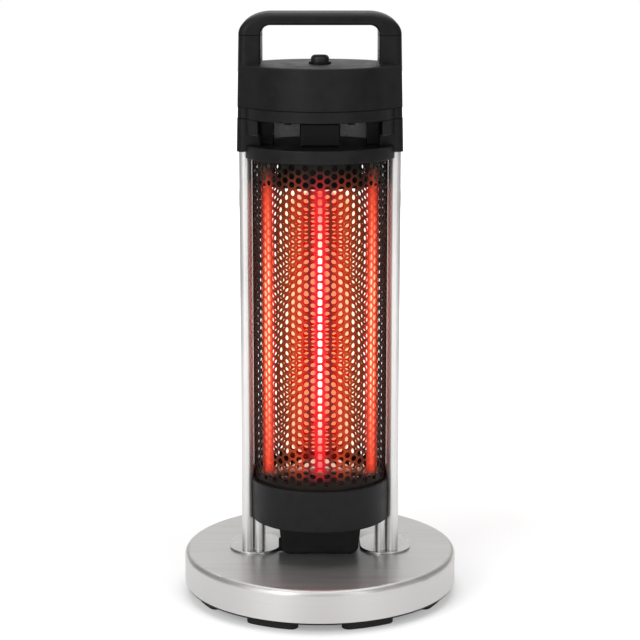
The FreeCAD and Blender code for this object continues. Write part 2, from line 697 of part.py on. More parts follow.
def guard_strip(row_shift_share):
    """One flat upright strip of the guard with its column of holes: its skin, and its two side faces."""
    outer_half = GUARD_RADIUS * math.tan(guard_half_turn)
    inner_half = guard_inner_radius * math.tan(guard_half_turn)
    guard_top = cap_ceiling - SLIP_FIT
    points = [
        V(GUARD_RADIUS, -outer_half, cup_ledge),
        V(GUARD_RADIUS, outer_half, cup_ledge),
        V(guard_inner_radius, inner_half, cup_ledge),
        V(guard_inner_radius, -inner_half, cup_ledge),
    ]
    bar = Part.Face(Part.makePolygon(points + points[:1])).extrude(UP * (guard_top - cup_ledge))
    first = cup_top + GUARD_PLAIN_END
    rows = int((GUARD_SHOWING - GUARD_PLAIN_END) / GUARD_ROW_PITCH)
    drills = []
    for row in range(rows):
        height = first + (row + row_shift_share) * GUARD_ROW_PITCH
        drills.append(Part.makeCylinder(GUARD_HOLE_RADIUS, GUARD_WALL + OVERRUN + OVERRUN,
                                        V(guard_inner_radius - OVERRUN, 0, height), ACROSS))
    bar = bar.cut(Part.makeCompound(drills))
    sides = []
    for turn in (-guard_half_turn, guard_half_turn):
        normal = V(-math.sin(turn), math.cos(turn), 0)
        sides += [face for face in bar.Faces if isinstance(face.Surface, Part.Plane)
                  and face.Surface.Axis.cross(normal).Length < Part.Precision.angular()]
    skin = [face for face in bar.Faces if not any(face.isSame(side) for side in sides)]
    return skin, sides


def make_guard_half(first_column):
    """Half of the guard, rolled from one sheet; the two halves butt behind the poles."""
    strips = [guard_strip(0.5), guard_strip(1)]
    columns = range(first_column, first_column + guard_half_columns)
    step = math.degrees(guard_half_turn + guard_half_turn)
    faces = []
    for column in columns:
        skin, (low_side, high_side) = strips[column % len(strips)]
        kept = list(skin)
        if column == columns[0]:
            kept.append(low_side)
        if column == columns[-1]:
            kept.append(high_side)
        faces += [face.rotated(ORIGIN, UP, column * step) for face in kept]
    shell = Part.Compound(faces)
    shell.sewShape()
    return Part.Solid(shell.Shells[0])


def make_lamp_plate(bottom, top):
    plate = cylinder(lamp_plate_radius, bottom, top)
    drills = holes(boss_places, SMALL_SCREW, bottom - OVERRUN, top + OVERRUN)
    drills += [cylinder(HOLDER_RADIUS + SLIP_FIT, bottom - OVERRUN, top + OVERRUN, place)
               for place in lamp_places]
    return plate.cut(drills)


save("lamp_cup", make_lamp_cup())
save("guard", make_guard_half(0), make_guard_half(guard_half_columns))
save("lower_lamp_plate", make_lamp_plate(lower_plate_bottom, lower_plate_top))
save("upper_lamp_plate", make_lamp_plate(upper_plate_bottom, upper_plate_top))
save("lower_plate_screws", *[screw(place, lower_plate_top, SMALL_SCREW, PLATE_SCREW_GRIP, -1)
                             for place in boss_places])
save("upper_plate_screws", *[screw(place, upper_plate_bottom, SMALL_SCREW, PLATE_SCREW_GRIP, 1)
                             for place in boss_places])
cutout_y = (HOLDER_FLANGE_RADIUS + cap_skirt_radius - CAP_SKIRT_WALL) / 2
save("thermal_cutout",
     cylinder(CUTOUT_RADIUS, upper_plate_top, upper_plate_top + CUTOUT_HEIGHT, (0, cutout_y)))


# Lamps: ceramic holders, end caps, quartz tubes and carbon filaments

def make_lower_holder(place):
    holder = cylinder(HOLDER_RADIUS, lower_holder_bottom, lower_holder_top, place)
    flange = cylinder(HOLDER_FLANGE_RADIUS, lower_plate_top, lower_holder_top, place)
    bore = cylinder(END_CAP_RADIUS + SLIP_FIT, lower_socket_floor, lower_holder_top + OVERRUN, place)
    return holder.fuse(flange).cut(bore).removeSplitter()


def make_upper_holder(place):
    holder = cylinder(HOLDER_RADIUS, upper_holder_bottom, upper_holder_top, place)
    flange = cylinder(HOLDER_FLANGE_RADIUS, upper_plate_top, upper_plate_top + HOLDER_FLANGE_THICK, place)
    bore = cylinder(END_CAP_RADIUS + SLIP_FIT, upper_holder_bottom - OVERRUN, upper_socket_ceiling, place)
    return holder.fuse(flange).cut(bore).removeSplitter()


def make_end_cap(closed, way, place):
    """A metal thimble on a lamp's end, closed at one height and open upwards (1) or downwards (-1)."""
    opened = closed + way * END_CAP_LENGTH
    seat = closed + way * END_CAP_FLOOR
    cap = cylinder(END_CAP_RADIUS, min(closed, opened), max(closed, opened), place)
    mouth = opened + way * OVERRUN
    return cap.cut(cylinder(LAMP_RADIUS + SLIP_FIT, min(seat, mouth), max(seat, mouth), place))


def make_filament(x, y):
    half_width = FILAMENT_WIDTH / 2
    half_thick = FILAMENT_THICK / 2
    return box((x - half_width, x + half_width), (y - half_thick, y + half_thick), (lamp_bottom, lamp_top))


lamp_names = ("left", "centre", "right")
for lamp_name, lamp_place in zip(lamp_names, lamp_places):
    save("lamp_tube_" + lamp_name,
         tube(LAMP_RADIUS, LAMP_RADIUS - LAMP_WALL, lamp_bottom, lamp_top, lamp_place))
    save("lamp_filament_" + lamp_name, make_filament(*lamp_place))
save("lower_lamp_holders", *[make_lower_holder(place) for place in lamp_places])
save("upper_lamp_holders", *[make_upper_holder(place) for place in lamp_places])
save("lower_lamp_caps", *[make_end_cap(lower_socket_floor, 1, place) for place in lamp_places])
save("upper_lamp_caps", *[make_end_cap(lamp_top + END_CAP_FLOOR, -1, place) for place in lamp_places])


# Head: legs, guard cap, vent, ring and cover

def leg_outer_x(height):
    """The leg leans in a little towards the grip."""
    climb_share = (height - leg_bottom) / (grip_bottom - leg_bottom)
    return leg_outer_x_low + climb_share * (leg_outer_x_high - leg_outer_x_low)


def leg_block(bottom, top, inset):
    """A length of the right-hand leg, shrunk on its sides by an inset."""
    outlines = []
    for height in (bottom, top):
        outlines.append(rounded_rectangle(
            (leg_inner_x + inset, leg_outer_x(height) - inset),
            (leg_front + inset, leg_back - inset), height,
            LEG_INNER_ROUND, LEG_OUTER_ROUND - inset))
    return Part.makeLoft(outlines, True, True)


def leg_shoulder(radius, inset, sections):
    """Fills the corner between a drum and the front of the right-hand leg, at (height, shrink) sections."""
    outlines = []
    for height, shrink in sections:
        drum = radius - shrink
        corner = LEG_OUTER_ROUND - inset - shrink
        centre_x = leg_outer_x(height) - LEG_OUTER_ROUND
        centre_y = leg_front + LEG_OUTER_ROUND
        distance = math.hypot(centre_x, centre_y)
        turn = math.atan2(centre_y, centre_x) - math.acos((drum - corner) / distance)
        out = V(math.cos(turn), math.sin(turn), 0)
        centre = V(centre_x, centre_y, height)
        points = [V(0, 0, height) + out * drum, centre + out * corner, centre,
                  V(leg_inner_x, centre_y, height)]
        outlines.append(Part.makePolygon(points + points[:1]))
    return Part.makeLoft(outlines, True, True)


def make_pole_socket():
    leg = leg_block(leg_bottom, ring_bottom, 0)
    guard_side = box((0, pole_inner_x - SLIP_FIT), (leg_front - OVERRUN, leg_back + OVERRUN),
                     (leg_bottom - OVERRUN, cap_top))
    root = box((socket_inner_x, leg_inner_x + LEG_OUTER_ROUND), (leg_front + SOCKET_ROOT_INSET, leg_back),
               (cap_top, ring_bottom))
    socket = leg.cut(guard_side).fuse(root).removeSplitter()
    pocket = flat_oval(SLIP_FIT, leg_bottom - OVERRUN, pole_top)
    places = [place for place in socket_screw_places if place[0] > 0]
    drills = holes(places, MEDIUM_SCREW, ring_floor_top - SOCKET_SCREW_GRIP, ring_bottom + OVERRUN)
    drills += holes(places, MEDIUM_SCREW, cap_top - OVERRUN, cap_ceiling + CAP_SCREW_GRIP)
    lead_hole = cylinder(LEAD_RADIUS + LEAD_PLAY, pole_top - OVERRUN, ring_bottom + OVERRUN, (pole_x, POLE_Y))
    return socket.cut([pocket, lead_hole] + drills)


def make_guard_cap():
    cap = cylinder(head_radius, cap_bottom, cap_top)
    cap = cap.makeFillet(CAP_EDGE_ROUND, edges_at_height(cap, cap_top))
    recess = cylinder(GUARD_RADIUS + SLIP_FIT, cap_bottom - OVERRUN, cap_ceiling)
    bosses = [cylinder(CUP_BOSS_RADIUS, upper_plate_top, cap_top - CAP_EDGE_ROUND, place)
              for place in boss_places]
    skirt = tube(cap_skirt_radius, cap_skirt_radius - CAP_SKIRT_WALL, upper_plate_top,
                 cap_top - CAP_EDGE_ROUND)
    notch_x = pole_inner_x - SLIP_FIT - SLIP_FIT
    leg_notch = box((notch_x, head_radius + OVERRUN), (leg_front - SLIP_FIT, leg_back + SLIP_FIT),
                    (leg_bottom - SLIP_FIT, cap_top + OVERRUN))
    pole_notch = flat_oval(SLIP_FIT, cap_bottom - OVERRUN, cap_top)
    notches = [leg_notch, mirrored(leg_notch), pole_notch, mirrored(pole_notch)]
    drills = holes(socket_screw_places, MEDIUM_SCREW, cap_bottom, cap_top + OVERRUN)
    drills += holes(boss_places, SMALL_SCREW, upper_plate_top - OVERRUN,
                    upper_plate_bottom + PLATE_SCREW_GRIP)
    cap = cap.cut([recess] + notches).fuse(bosses + [skirt]).removeSplitter()
    return cap.cut(drills)


def make_vent_duct():
    half = DUCT_WIDTH / 2
    shoulder = ring_bottom - DUCT_NECK
    body = box((-half, half), (DUCT_FRONT_Y, DUCT_FRONT_Y + DUCT_DEPTH), (cap_top, shoulder))
    front = [edge for edge in body.Edges if edge.BoundBox.YMax < DUCT_FRONT_Y + SLIP_FIT]
    body = body.makeChamfer(DUCT_BEVEL, front)
    inset = half - DUCT_NECK_INSET
    neck = box((-inset, inset), (DUCT_FRONT_Y + DUCT_NECK_INSET, DUCT_FRONT_Y + DUCT_DEPTH),
               (shoulder, ring_bottom))
    return body.fuse(neck).removeSplitter()


def make_vent_baffle():
    sheet = tube(baffle_radius, baffle_radius - BAFFLE_THICK, cap_top, ring_bottom)
    behind = box((-baffle_radius, baffle_radius), (leg_back + SLIP_FIT, baffle_radius + OVERRUN),
                 (cap_top, ring_bottom))
    return sheet.common(behind)


def make_cheek(y_way):
    """A curved flap of the ring beside a leg, flush with it, at the front (-1) or the back (1)."""
    wall = tube(head_radius, head_radius - CHEEK_WALL, cheek_bottom, ring_bottom)
    near = leg_front - SLIP_FIT if y_way < 0 else leg_back + SLIP_FIT
    far = y_way * (head_radius + OVERRUN)
    corner = box((cheek_inner_x if y_way < 0 else socket_inner_x, head_radius + OVERRUN),
                 (min(near, far), max(near, far)), (cheek_bottom, ring_bottom))
    flap = wall.common(corner)
    if y_way > 0:
        return flap
    shoulder = leg_shoulder(head_radius, 0, [(cheek_bottom, 0), (ring_bottom, 0)])
    leg_room = leg_block(cheek_bottom - OVERRUN, ring_bottom + OVERRUN, -SLIP_FIT)
    return flap.fuse(shoulder.cut(leg_room)).removeSplitter()


def make_head_ring():
    tray = cylinder(head_radius, ring_bottom, cover_bottom)
    ears = [leg_block(ring_bottom, cover_bottom, SEAM_STEP)]
    ears.append(leg_shoulder(head_radius, SEAM_STEP, [(ring_bottom, 0), (cover_bottom, 0)]))
    ears += [mirrored(ear) for ear in ears]
    cheeks = [make_cheek(y_way) for y_way in (-1, 1)]
    cheeks += [mirrored(cheek) for cheek in cheeks]
    ring = tray.fuse(ears).fuse(cheeks)
    hollow = cylinder(head_radius - COVER_WALL, ring_floor_top, cover_bottom + OVERRUN)
    drills = holes(head_boss_places, MEDIUM_SCREW, ring_bottom - OVERRUN, ring_floor_top + OVERRUN)
    drills += holes(socket_screw_places, MEDIUM_SCREW, ring_bottom - OVERRUN, ring_floor_top + OVERRUN)
    drills.append(cylinder(LEAD_RADIUS + LEAD_PLAY, ring_bottom - OVERRUN, cover_bottom + OVERRUN,
                           pole_lead_place))
    return ring.removeSplitter().cut([hollow] + drills)


def make_head_cover():
    drum_radius = head_radius - SEAM_STEP
    drum = cylinder(drum_radius, cover_bottom, head_top)
    drum = drum.makeChamfer(COVER_EDGE_CHAMFER, edges_at_height(drum, head_top))
    edge_start = head_top - COVER_EDGE_CHAMFER
    legs = [leg_block(cover_bottom, grip_bottom, 0)]
    legs.append(leg_shoulder(drum_radius, 0,
                             [(cover_bottom, 0), (edge_start, 0), (head_top, COVER_EDGE_CHAMFER)]))
    legs += [mirrored(leg) for leg in legs]
    hollow = cylinder(head_radius - COVER_WALL, cover_bottom - OVERRUN, cover_ceiling)
    leg_hollows = [leg_block(cover_bottom, leg_ceiling, LEG_WALL)]
    leg_hollows.append(mirrored(leg_hollows[0]))
    bosses = [cylinder(HEAD_BOSS_RADIUS, ring_floor_top, cover_ceiling + OVERRUN / 2, place)
              for place in head_boss_places]
    cover = drum.fuse(legs).cut([hollow] + leg_hollows).fuse(bosses).removeSplitter()
    drills = holes(head_boss_places, MEDIUM_SCREW, ring_floor_top - OVERRUN, ring_bottom + HEAD_SCREW_GRIP)
    drills += holes(grip_screw_places, MEDIUM_SCREW, leg_ceiling - OVERRUN, grip_bottom + OVERRUN)
    drills.append(cylinder(BUTTON_RADIUS + BUTTON_PLAY, cover_ceiling - OVERRUN, head_top + OVERRUN))
    return cover.cut(drills)


def make_handle_grip():
    outer_x = leg_outer_x_high
    shoulder_x = outer_x - GRIP_CORNER_WIDTH
    shoulder_z = grip_top - GRIP_CORNER_HEIGHT
    bar_bottom = grip_top - GRIP_BAR_THICK
    inner_x = leg_inner_x - GRIP_INNER_ROUND
    inner_z = bar_bottom - GRIP_INNER_ROUND
    quarter = math.pi / 2
    diagonal_share = math.sqrt(0.5)

    def at(x, z):
        return V(x, leg_front, z)

    def outer_corner(side):
        arc = Part.Ellipse(at(shoulder_x + GRIP_CORNER_WIDTH, shoulder_z), at(shoulder_x, grip_top),
                           at(shoulder_x, shoulder_z))
        edge = Part.Arc(arc, 0, quarter).toShape()
        return edge if side > 0 else mirrored(edge)

    def inner_corner(side):
        reach = GRIP_INNER_ROUND * diagonal_share
        return Part.Arc(at(side * leg_inner_x, inner_z), at(side * (inner_x + reach), inner_z + reach),
                        at(side * inner_x, bar_bottom)).toShape()

    def line(start, end):
        return Part.LineSegment(start, end).toShape()

    edges = [
        line(at(outer_x, grip_bottom), at(outer_x, shoulder_z)),
        outer_corner(1),
        line(at(shoulder_x, grip_top), at(-shoulder_x, grip_top)),
        outer_corner(-1),
        line(at(-outer_x, shoulder_z), at(-outer_x, grip_bottom)),
        line(at(-outer_x, grip_bottom), at(-leg_inner_x, grip_bottom)),
        line(at(-leg_inner_x, grip_bottom), at(-leg_inner_x, inner_z)),
        inner_corner(-1),
        line(at(-inner_x, bar_bottom), at(inner_x, bar_bottom)),
        inner_corner(1),
        line(at(leg_inner_x, inner_z), at(leg_inner_x, grip_bottom)),
        line(at(leg_inner_x, grip_bottom), at(outer_x, grip_bottom)),
    ]
    outline = Part.Wire(Part.__sortEdges__(edges))
    grip = Part.Face(outline).extrude(V(0, LEG_DEPTH, 0))

    def face_edges(shape):
        """Edges on the front and back faces, above the seam with the legs."""
        return [edge for edge in shape.Edges
                if edge.BoundBox.YLength < SLIP_FIT and edge.BoundBox.ZMax > grip_bottom + SLIP_FIT
                and min(abs(edge.BoundBox.YMin - leg_front), abs(edge.BoundBox.YMin - leg_back)) < SLIP_FIT]

    def is_outer(edge):
        bounds = edge.BoundBox
        reaches_out = max(abs(bounds.XMin), abs(bounds.XMax)) > leg_inner_x + SLIP_FIT
        return reaches_out or bounds.ZMin > bar_bottom + SLIP_FIT

    grip = grip.makeFillet(LEG_OUTER_ROUND, [edge for edge in face_edges(grip) if is_outer(edge)])
    grip = grip.makeFillet(LEG_INNER_ROUND, [edge for edge in face_edges(grip) if not is_outer(edge)])
    return grip.cut(holes(grip_screw_places, MEDIUM_SCREW, grip_bottom - OVERRUN,
                          leg_ceiling + GRIP_SCREW_GRIP))


for side_name, side in SIDES.items():
    save("pole_socket_" + side_name, on_side(make_pole_socket(), side))
save("guard_cap", make_guard_cap())
save("vent_duct", make_vent_duct())
save("vent_baffle", make_vent_baffle())
save("head_ring", make_head_ring())
save("head_cover", make_head_cover())
save("handle_grip", make_handle_grip())
save("head_screws",
     *[screw(place, ring_bottom, MEDIUM_SCREW, HEAD_SCREW_GRIP, 1) for place in head_boss_places])
save("socket_screws", *[screw(place, ring_floor_top, MEDIUM_SCREW, SOCKET_SCREW_GRIP, -1)
                        for place in socket_screw_places])
save("guard_cap_screws", *[screw(place, cap_ceiling, MEDIUM_SCREW, CAP_SCREW_GRIP, 1)
                           for place in socket_screw_places])
save("grip_screws",
     *[screw(place, leg_ceiling, MEDIUM_SCREW, GRIP_SCREW_GRIP, 1) for place in grip_screw_places])


# Power button: collar, domed button, switch and its bracket

lip_top = cover_ceiling - SLIP_FIT
lip_bottom = lip_top - BUTTON_LIP_THICK
switch_top = lip_bottom - BUTTON_TRAVEL - SWITCH_CROWN_GAP
switch_bottom = switch_top - SWITCH_HEIGHT


def make_button_collar():
    outer = BUTTON_RADIUS + BUTTON_PLAY + COLLAR_WALL
    collar = cylinder(outer, head_top, head_top + COLLAR_HEIGHT)
    collar = collar.makeFillet(COLLAR_ROUND, edges_at_height(collar, head_top + COLLAR_HEIGHT))
    return collar.cut(cylinder(BUTTON_RADIUS + BUTTON_PLAY, head_top - OVERRUN,
                               head_top + COLLAR_HEIGHT + OVERRUN))


def make_power_button():
    crown = head_top + BUTTON_RISE
    body = cylinder(BUTTON_RADIUS, lip_bottom, crown)
    body = body.makeFillet(BUTTON_CROWN_ROUND, edges_at_height(body, crown))
    lip = cylinder(BUTTON_RADIUS + BUTTON_LIP, lip_bottom, lip_top)
    stem = cylinder(BUTTON_STEM_RADIUS, lip_bottom - BUTTON_STEM_LENGTH, lip_bottom)
    return body.fuse([lip, stem]).removeSplitter()


def make_switch_body():
    half = SWITCH_WIDTH / 2
    body = box((-half, half), (-half, half), (switch_bottom, switch_top))
    bore = cylinder(BUTTON_STEM_RADIUS + BUTTON_PLAY, switch_top - SWITCH_BORE_DEPTH, switch_top + OVERRUN)
    return body.cut(bore)


def make_switch_bracket():
    half = BRACKET_LENGTH / 2
    depth = SWITCH_WIDTH / 2
    top = box((-half, half), (-depth, depth), (switch_bottom - BRACKET_THICK, switch_bottom))
    legs = [box((min(side * half, side * (half - BRACKET_THICK)),
                 max(side * half, side * (half - BRACKET_THICK))),
                (-depth, depth), (ring_floor_top, switch_bottom - BRACKET_THICK)) for side in SIDES.values()]
    return top.fuse(legs).removeSplitter()


save("button_collar", make_button_collar())
save("power_button", make_power_button())
save("switch_body", make_switch_body())
save("switch_bracket", make_switch_bracket())


# Tip-over switch: body on the base plate and the plunger that the floor holds in

tip_chamber_bottom = pan_bottom + TIP_CHAMBER_FLOOR
tip_collar_top = tip_chamber_bottom + TIP_END_PLAY + TIP_TRAVEL + TIP_COLLAR_THICK


def make_tip_switch_body():
    half = TIP_WIDTH / 2
    body = box((-half, half), (tip_y - half, tip_y + half), (pan_bottom, pan_bottom + TIP_HEIGHT))
    bore = cylinder(TIP_STEM_RADIUS + TIP_PLAY, pan_bottom - OVERRUN, tip_collar_top + TIP_END_PLAY,
                    (0, tip_y))
    chamber = cylinder(TIP_COLLAR_RADIUS + TIP_PLAY, tip_chamber_bottom, tip_collar_top + TIP_END_PLAY,
                       (0, tip_y))
    return body.cut([bore, chamber])


def make_tip_plunger():
    stem = cylinder(TIP_STEM_RADIUS, TIP_FLOOR_GAP, tip_collar_top, (0, tip_y))
    stem = stem.makeFillet(FLANGE_EDGE_ROUND, edges_at_height(stem, TIP_FLOOR_GAP))
    collar = cylinder(TIP_COLLAR_RADIUS, tip_collar_top - TIP_COLLAR_THICK, tip_collar_top, (0, tip_y))
    return stem.fuse(collar).removeSplitter()


save("tip_switch_body", make_tip_switch_body())
save("tip_plunger", make_tip_plunger())


# Leads: strip to lamps, and strip to head through the left pole

def make_lamp_lead(x, y):
    gathered_x = x / lamp_spacing * LAMP_LEAD_GATHER_X
    start_z = strip_top + STRIP_SCREW_HEIGHT
    turn_z = lower_holder_bottom - LAMP_LEAD_DIP
    points = [(x, y, lower_holder_bottom), (x, y, turn_z), (gathered_x, y, turn_z), (gathered_x, y, start_z)]
    straight = [points[0], points[-1]]
    return lead(points if x else straight)


def make_pole_lead():
    x, y = pole_lead_place
    box_x = pole_lead_box_place[0]
    low = pan_roof - POLE_LEAD_DEPTH
    return lead([(box_x, y, strip_top), (box_x, y, low), (x, y, low), (x, y, cover_bottom)])


save("lamp_leads", *[make_lamp_lead(*place) for place in lamp_places])
save("pole_lead", make_pole_lead())
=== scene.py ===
# %% [markdown]
# # A free-standing infrared heater, finished in Blender
# The solids of the heater come from the CAD frame: a brushed base, two polished poles, a perforated guard
# with three glowing quartz lamps, and a black head with a grip. This lesson gives every one of them its
# real finish, sets up a plain studio and looks at it from where the photograph was taken. No CAD piece is
# moved.

# %% Load the frame
from math import cos, pi, radians, sin

import bmesh
import bpy
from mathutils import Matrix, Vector


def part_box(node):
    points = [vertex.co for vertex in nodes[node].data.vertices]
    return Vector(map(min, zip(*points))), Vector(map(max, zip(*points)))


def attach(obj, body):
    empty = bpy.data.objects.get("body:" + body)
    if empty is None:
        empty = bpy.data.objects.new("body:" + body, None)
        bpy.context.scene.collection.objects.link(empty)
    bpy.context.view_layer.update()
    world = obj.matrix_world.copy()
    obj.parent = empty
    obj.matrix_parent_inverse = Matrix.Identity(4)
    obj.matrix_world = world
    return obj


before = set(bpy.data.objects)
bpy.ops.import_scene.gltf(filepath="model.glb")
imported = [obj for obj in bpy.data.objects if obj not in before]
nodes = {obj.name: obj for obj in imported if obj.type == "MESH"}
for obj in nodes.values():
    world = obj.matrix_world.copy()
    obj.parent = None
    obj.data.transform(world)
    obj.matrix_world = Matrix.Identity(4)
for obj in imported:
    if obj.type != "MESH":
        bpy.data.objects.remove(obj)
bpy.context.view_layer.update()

# %% [markdown]
# ## Small helpers for shader nodes
# A finish is a tree of shader nodes. Blender can build it by hand in the editor; in a script it reads
# best when one call makes a node and feeds its sockets, either with a constant or with a link from
# another node. A mix node has sockets for numbers, vectors and colours under the same names, so its
# colour sockets are counted instead. Most of Blender's noise lies between about a third and two thirds,
# which is the range called EVEN here. Every texture is placed by object coordinates. The CAD nodes all
# sit at the origin, so these are metres in the heater's own frame.

# %% Helpers that make, feed and place nodes
MIX_FACTOR = 0
MIX_FIRST = 6
MIX_SECOND = 7
MIX_RESULT = 2
EVEN = (0.35, 0.65)
FULL = (0.0, 1.0)
WHITE = (1.0, 1.0, 1.0, 1.0)
BLACK = (0.0, 0.0, 0.0, 1.0)


def linear(hex_colour):
    """Turns a screen colour such as 2b2b2b into the linear colour that shaders use."""
    channels = [int(hex_colour[i : i + 2], 16) / 255 for i in (0, 2, 4)]
    curve = [c / 12.92 if c <= 0.04045 else ((c + 0.055) / 1.055) ** 2.4 for c in channels]
    return (*curve, 1.0)


def add(tree, kind, inputs, **settings):
    """Adds a node, sets its properties, and feeds its inputs with constants or links."""
    node = tree.nodes.new(kind)
    for name, value in settings.items():
        setattr(node, name, value)
    feed(tree, node, inputs)
    return node


def feed(tree, node, inputs):
    """Feeds sockets by name or number: another node's output is linked, anything else is set."""
    for key, value in inputs.items():
        if isinstance(value, bpy.types.NodeSocket):
            tree.links.new(value, node.inputs[key])
        else:
            node.inputs[key].default_value = value


def new_finish(name, inputs):
    """Starts a material on one Principled shader, with its constants set."""
    material = bpy.data.materials.new(name)
    material.use_nodes = True
    tree = material.node_tree
    shader = tree.nodes["Principled BSDF"]
    feed(tree, shader, inputs)
    return material, tree, shader


def place(tree):
    """The heater's own coordinates, in metres."""
    return add(tree, "ShaderNodeTexCoord", {}).outputs["Object"]


def grain(tree, scale, detail=3.0, roughness=0.55):
    """Noise with a scale of its own along each axis; a small number draws it out into streaks."""
    mapped = add(tree, "ShaderNodeMapping", {"Vector": place(tree), "Scale": scale})
    inputs = {"Vector": mapped.outputs[0], "Scale": 1.0, "Detail": detail, "Roughness": roughness}
    return add(tree, "ShaderNodeTexNoise", inputs).outputs["Fac"]


def spread(tree, value, source, target):
    """Carries a range of values over to another range, and stops at its ends."""
    inputs = {
        "Value": value,
        "From Min": source[0],
        "From Max": source[1],
        "To Min": target[0],
        "To Max": target[1],
    }
    return add(tree, "ShaderNodeMapRange", inputs).outputs["Result"]


def tint(tree, amount, colour_a, colour_b):
    """Mixes two colours, or two colour sockets."""
    inputs = {MIX_FACTOR: amount, MIX_FIRST: colour_a, MIX_SECOND: colour_b}
    return add(tree, "ShaderNodeMix", inputs, data_type="RGBA").outputs[MIX_RESULT]


def sums(tree, operation, first, second):
    """One step of arithmetic."""
    return add(tree, "ShaderNodeMath", {0: first, 1: second}, operation=operation).outputs[0]


def relief(tree, height, depth, strength=1.0):
    """A bump of a given depth in metres."""
    inputs = {"Height": height, "Distance": depth, "Strength": strength}
    return add(tree, "ShaderNodeBump", inputs).outputs["Normal"]


finished = set()


def wear(material, *names):
    """Puts a finish on CAD nodes and notes their names."""
    for name in names:
        nodes[name].data.materials.clear()
        nodes[name].data.materials.append(material)
    finished.update(names)
    print(material.name, "on", len(names), "nodes")


print("helpers ready")

# %% [markdown]
# ## Brushed stainless base
# The base is a pressed pan of stainless steel with one straight brushed grain across it. A brushed face
# is made of fine parallel scratches: noise drawn out along one axis gives them. The same streaks drive
# colour, roughness and a shallow bump, so that highlights break up along the grain as on the real sheet.
# The side, seen edge on, is brushed around the rim; its colour is painted paler, a painted highlight for
# the light that the rim catches. A tangent across the grain draws reflections out.

# %% Brushed stainless
TOP_FINE = (10.0, 800.0, 1.0)
TOP_BROAD = (3.0, 120.0, 1.0)
SIDE_FINE = (2.0, 2.0, 1100.0)
SIDE_BROAD = (1.0, 1.0, 260.0)
SIDE_CONTRAST = (0.38, 0.62)
FACES_UP = (0.55, 0.75)
FINE_SHARE = 0.8
# Share of the painted highlight that makes the side paler.
SIDE_PAINTED_HIGHLIGHT = 0.5
BRUSH_GLOSS = (0.34, 0.42)
BRUSH_DEPTH = 0.00003
stainless, tree, shader = new_finish("brushed stainless", {"Metallic": 1.0, "Anisotropic": 0.6})


def brushed(tree, fine_scale, broad_scale):
    """Fine scratches over broader streaks along the same axis."""
    fine = sums(tree, "MULTIPLY", grain(tree, fine_scale, detail=4.0), FINE_SHARE)
    broad = sums(tree, "MULTIPLY", grain(tree, broad_scale, detail=2.0), 1.0 - FINE_SHARE)
    return sums(tree, "ADD", fine, broad)


facing = add(tree, "ShaderNodeNewGeometry", {}).outputs["Normal"]
upright = add(tree, "ShaderNodeSeparateXYZ", {"Vector": facing})
on_top = spread(tree, upright.outputs["Z"], FACES_UP, FULL)
on_side = sums(tree, "SUBTRACT", 1.0, on_top)
top_streak = sums(tree, "MULTIPLY", brushed(tree, TOP_FINE, TOP_BROAD), on_top)
side_faint = spread(tree, brushed(tree, SIDE_FINE, SIDE_BROAD), FULL, SIDE_CONTRAST)
side_streak = sums(tree, "MULTIPLY", side_faint, on_side)
streak = sums(tree, "ADD", top_streak, side_streak)
blur_way = add(tree, "ShaderNodeCombineXYZ", {"Y": on_top, "Z": on_side})
# The streaks set the tone; on the side a painted highlight makes the colour paler too.
streak_tone = spread(tree, streak, EVEN, (0.0, 1.0 - SIDE_PAINTED_HIGHLIGHT))
grain_and_painted_side_highlight = sums(tree, "ADD", streak_tone, sums(tree, "MULTIPLY", on_side, SIDE_PAINTED_HIGHLIGHT))
steel_inputs = {
    "Base Color": tint(tree, grain_and_painted_side_highlight, linear("a8a7a6"), linear("d2d1d0")),
    "Roughness": spread(tree, streak, EVEN, BRUSH_GLOSS),
    "Normal": relief(tree, streak, BRUSH_DEPTH, strength=0.3),
    "Tangent": blur_way.outputs["Vector"],
}
feed(tree, shader, steel_inputs)
wear(stainless, "base_pan")

# %% [markdown]
# ## Polished poles and posts
# The poles are polished extrusions. They show what stands around them as upright stripes, so most of
# their look comes from the studio. What they need of their own is a clean pale metal, faint drawing lines
# along their length, and a little uneven gloss from handling.

# %% Polished metal
DRAWN_LINES = (1400.0, 1400.0, 4.0)
HANDLING = (30.0, 30.0, 12.0)
POLE_GLOSS = (0.32, 0.40)
POLE_DEPTH = 0.00002
polished, tree, shader = new_finish("polished metal", {"Metallic": 0.8})
lines = grain(tree, DRAWN_LINES, detail=2.0)
smudge = grain(tree, HANDLING, detail=4.0)
polish_inputs = {
    "Base Color": tint(tree, spread(tree, smudge, EVEN, FULL), linear("cccbc9"), linear("dad9d7")),
    "Roughness": spread(tree, smudge, EVEN, POLE_GLOSS),
    "Normal": relief(tree, lines, POLE_DEPTH, strength=0.35),
}
feed(tree, shader, polish_inputs)
wear(polished, "pole_left", "pole_right", "cup_post_left", "cup_post_right")
wear(polished, "pole_side_cap_left", "pole_side_cap_right")

# %% [markdown]
# ## Bright flanges
# The oval plates under the poles lie flat on the base and mirror the white room above them. They are
# smoother than the poles, so they get a finish of their own with less roughness and only a trace of
# relief.

# %% Bright flanges
FLANGE_SMUDGE = (60.0, 60.0, 60.0)
FLANGE_GLOSS = (0.22, 0.30)
FLANGE_DEPTH = 0.00001
bright, tree, shader = new_finish("bright flange", {"Metallic": 1.0})
smudge = grain(tree, FLANGE_SMUDGE, detail=4.0)
bright_inputs = {
    "Base Color": tint(tree, spread(tree, smudge, EVEN, FULL), linear("b0b0af"), linear("bebebd")),
    "Roughness": spread(tree, smudge, EVEN, FLANGE_GLOSS),
    "Normal": relief(tree, grain(tree, TOP_BROAD), FLANGE_DEPTH, strength=0.2),
}
feed(tree, shader, bright_inputs)
wear(bright, "pole_flange_left", "pole_flange_right")
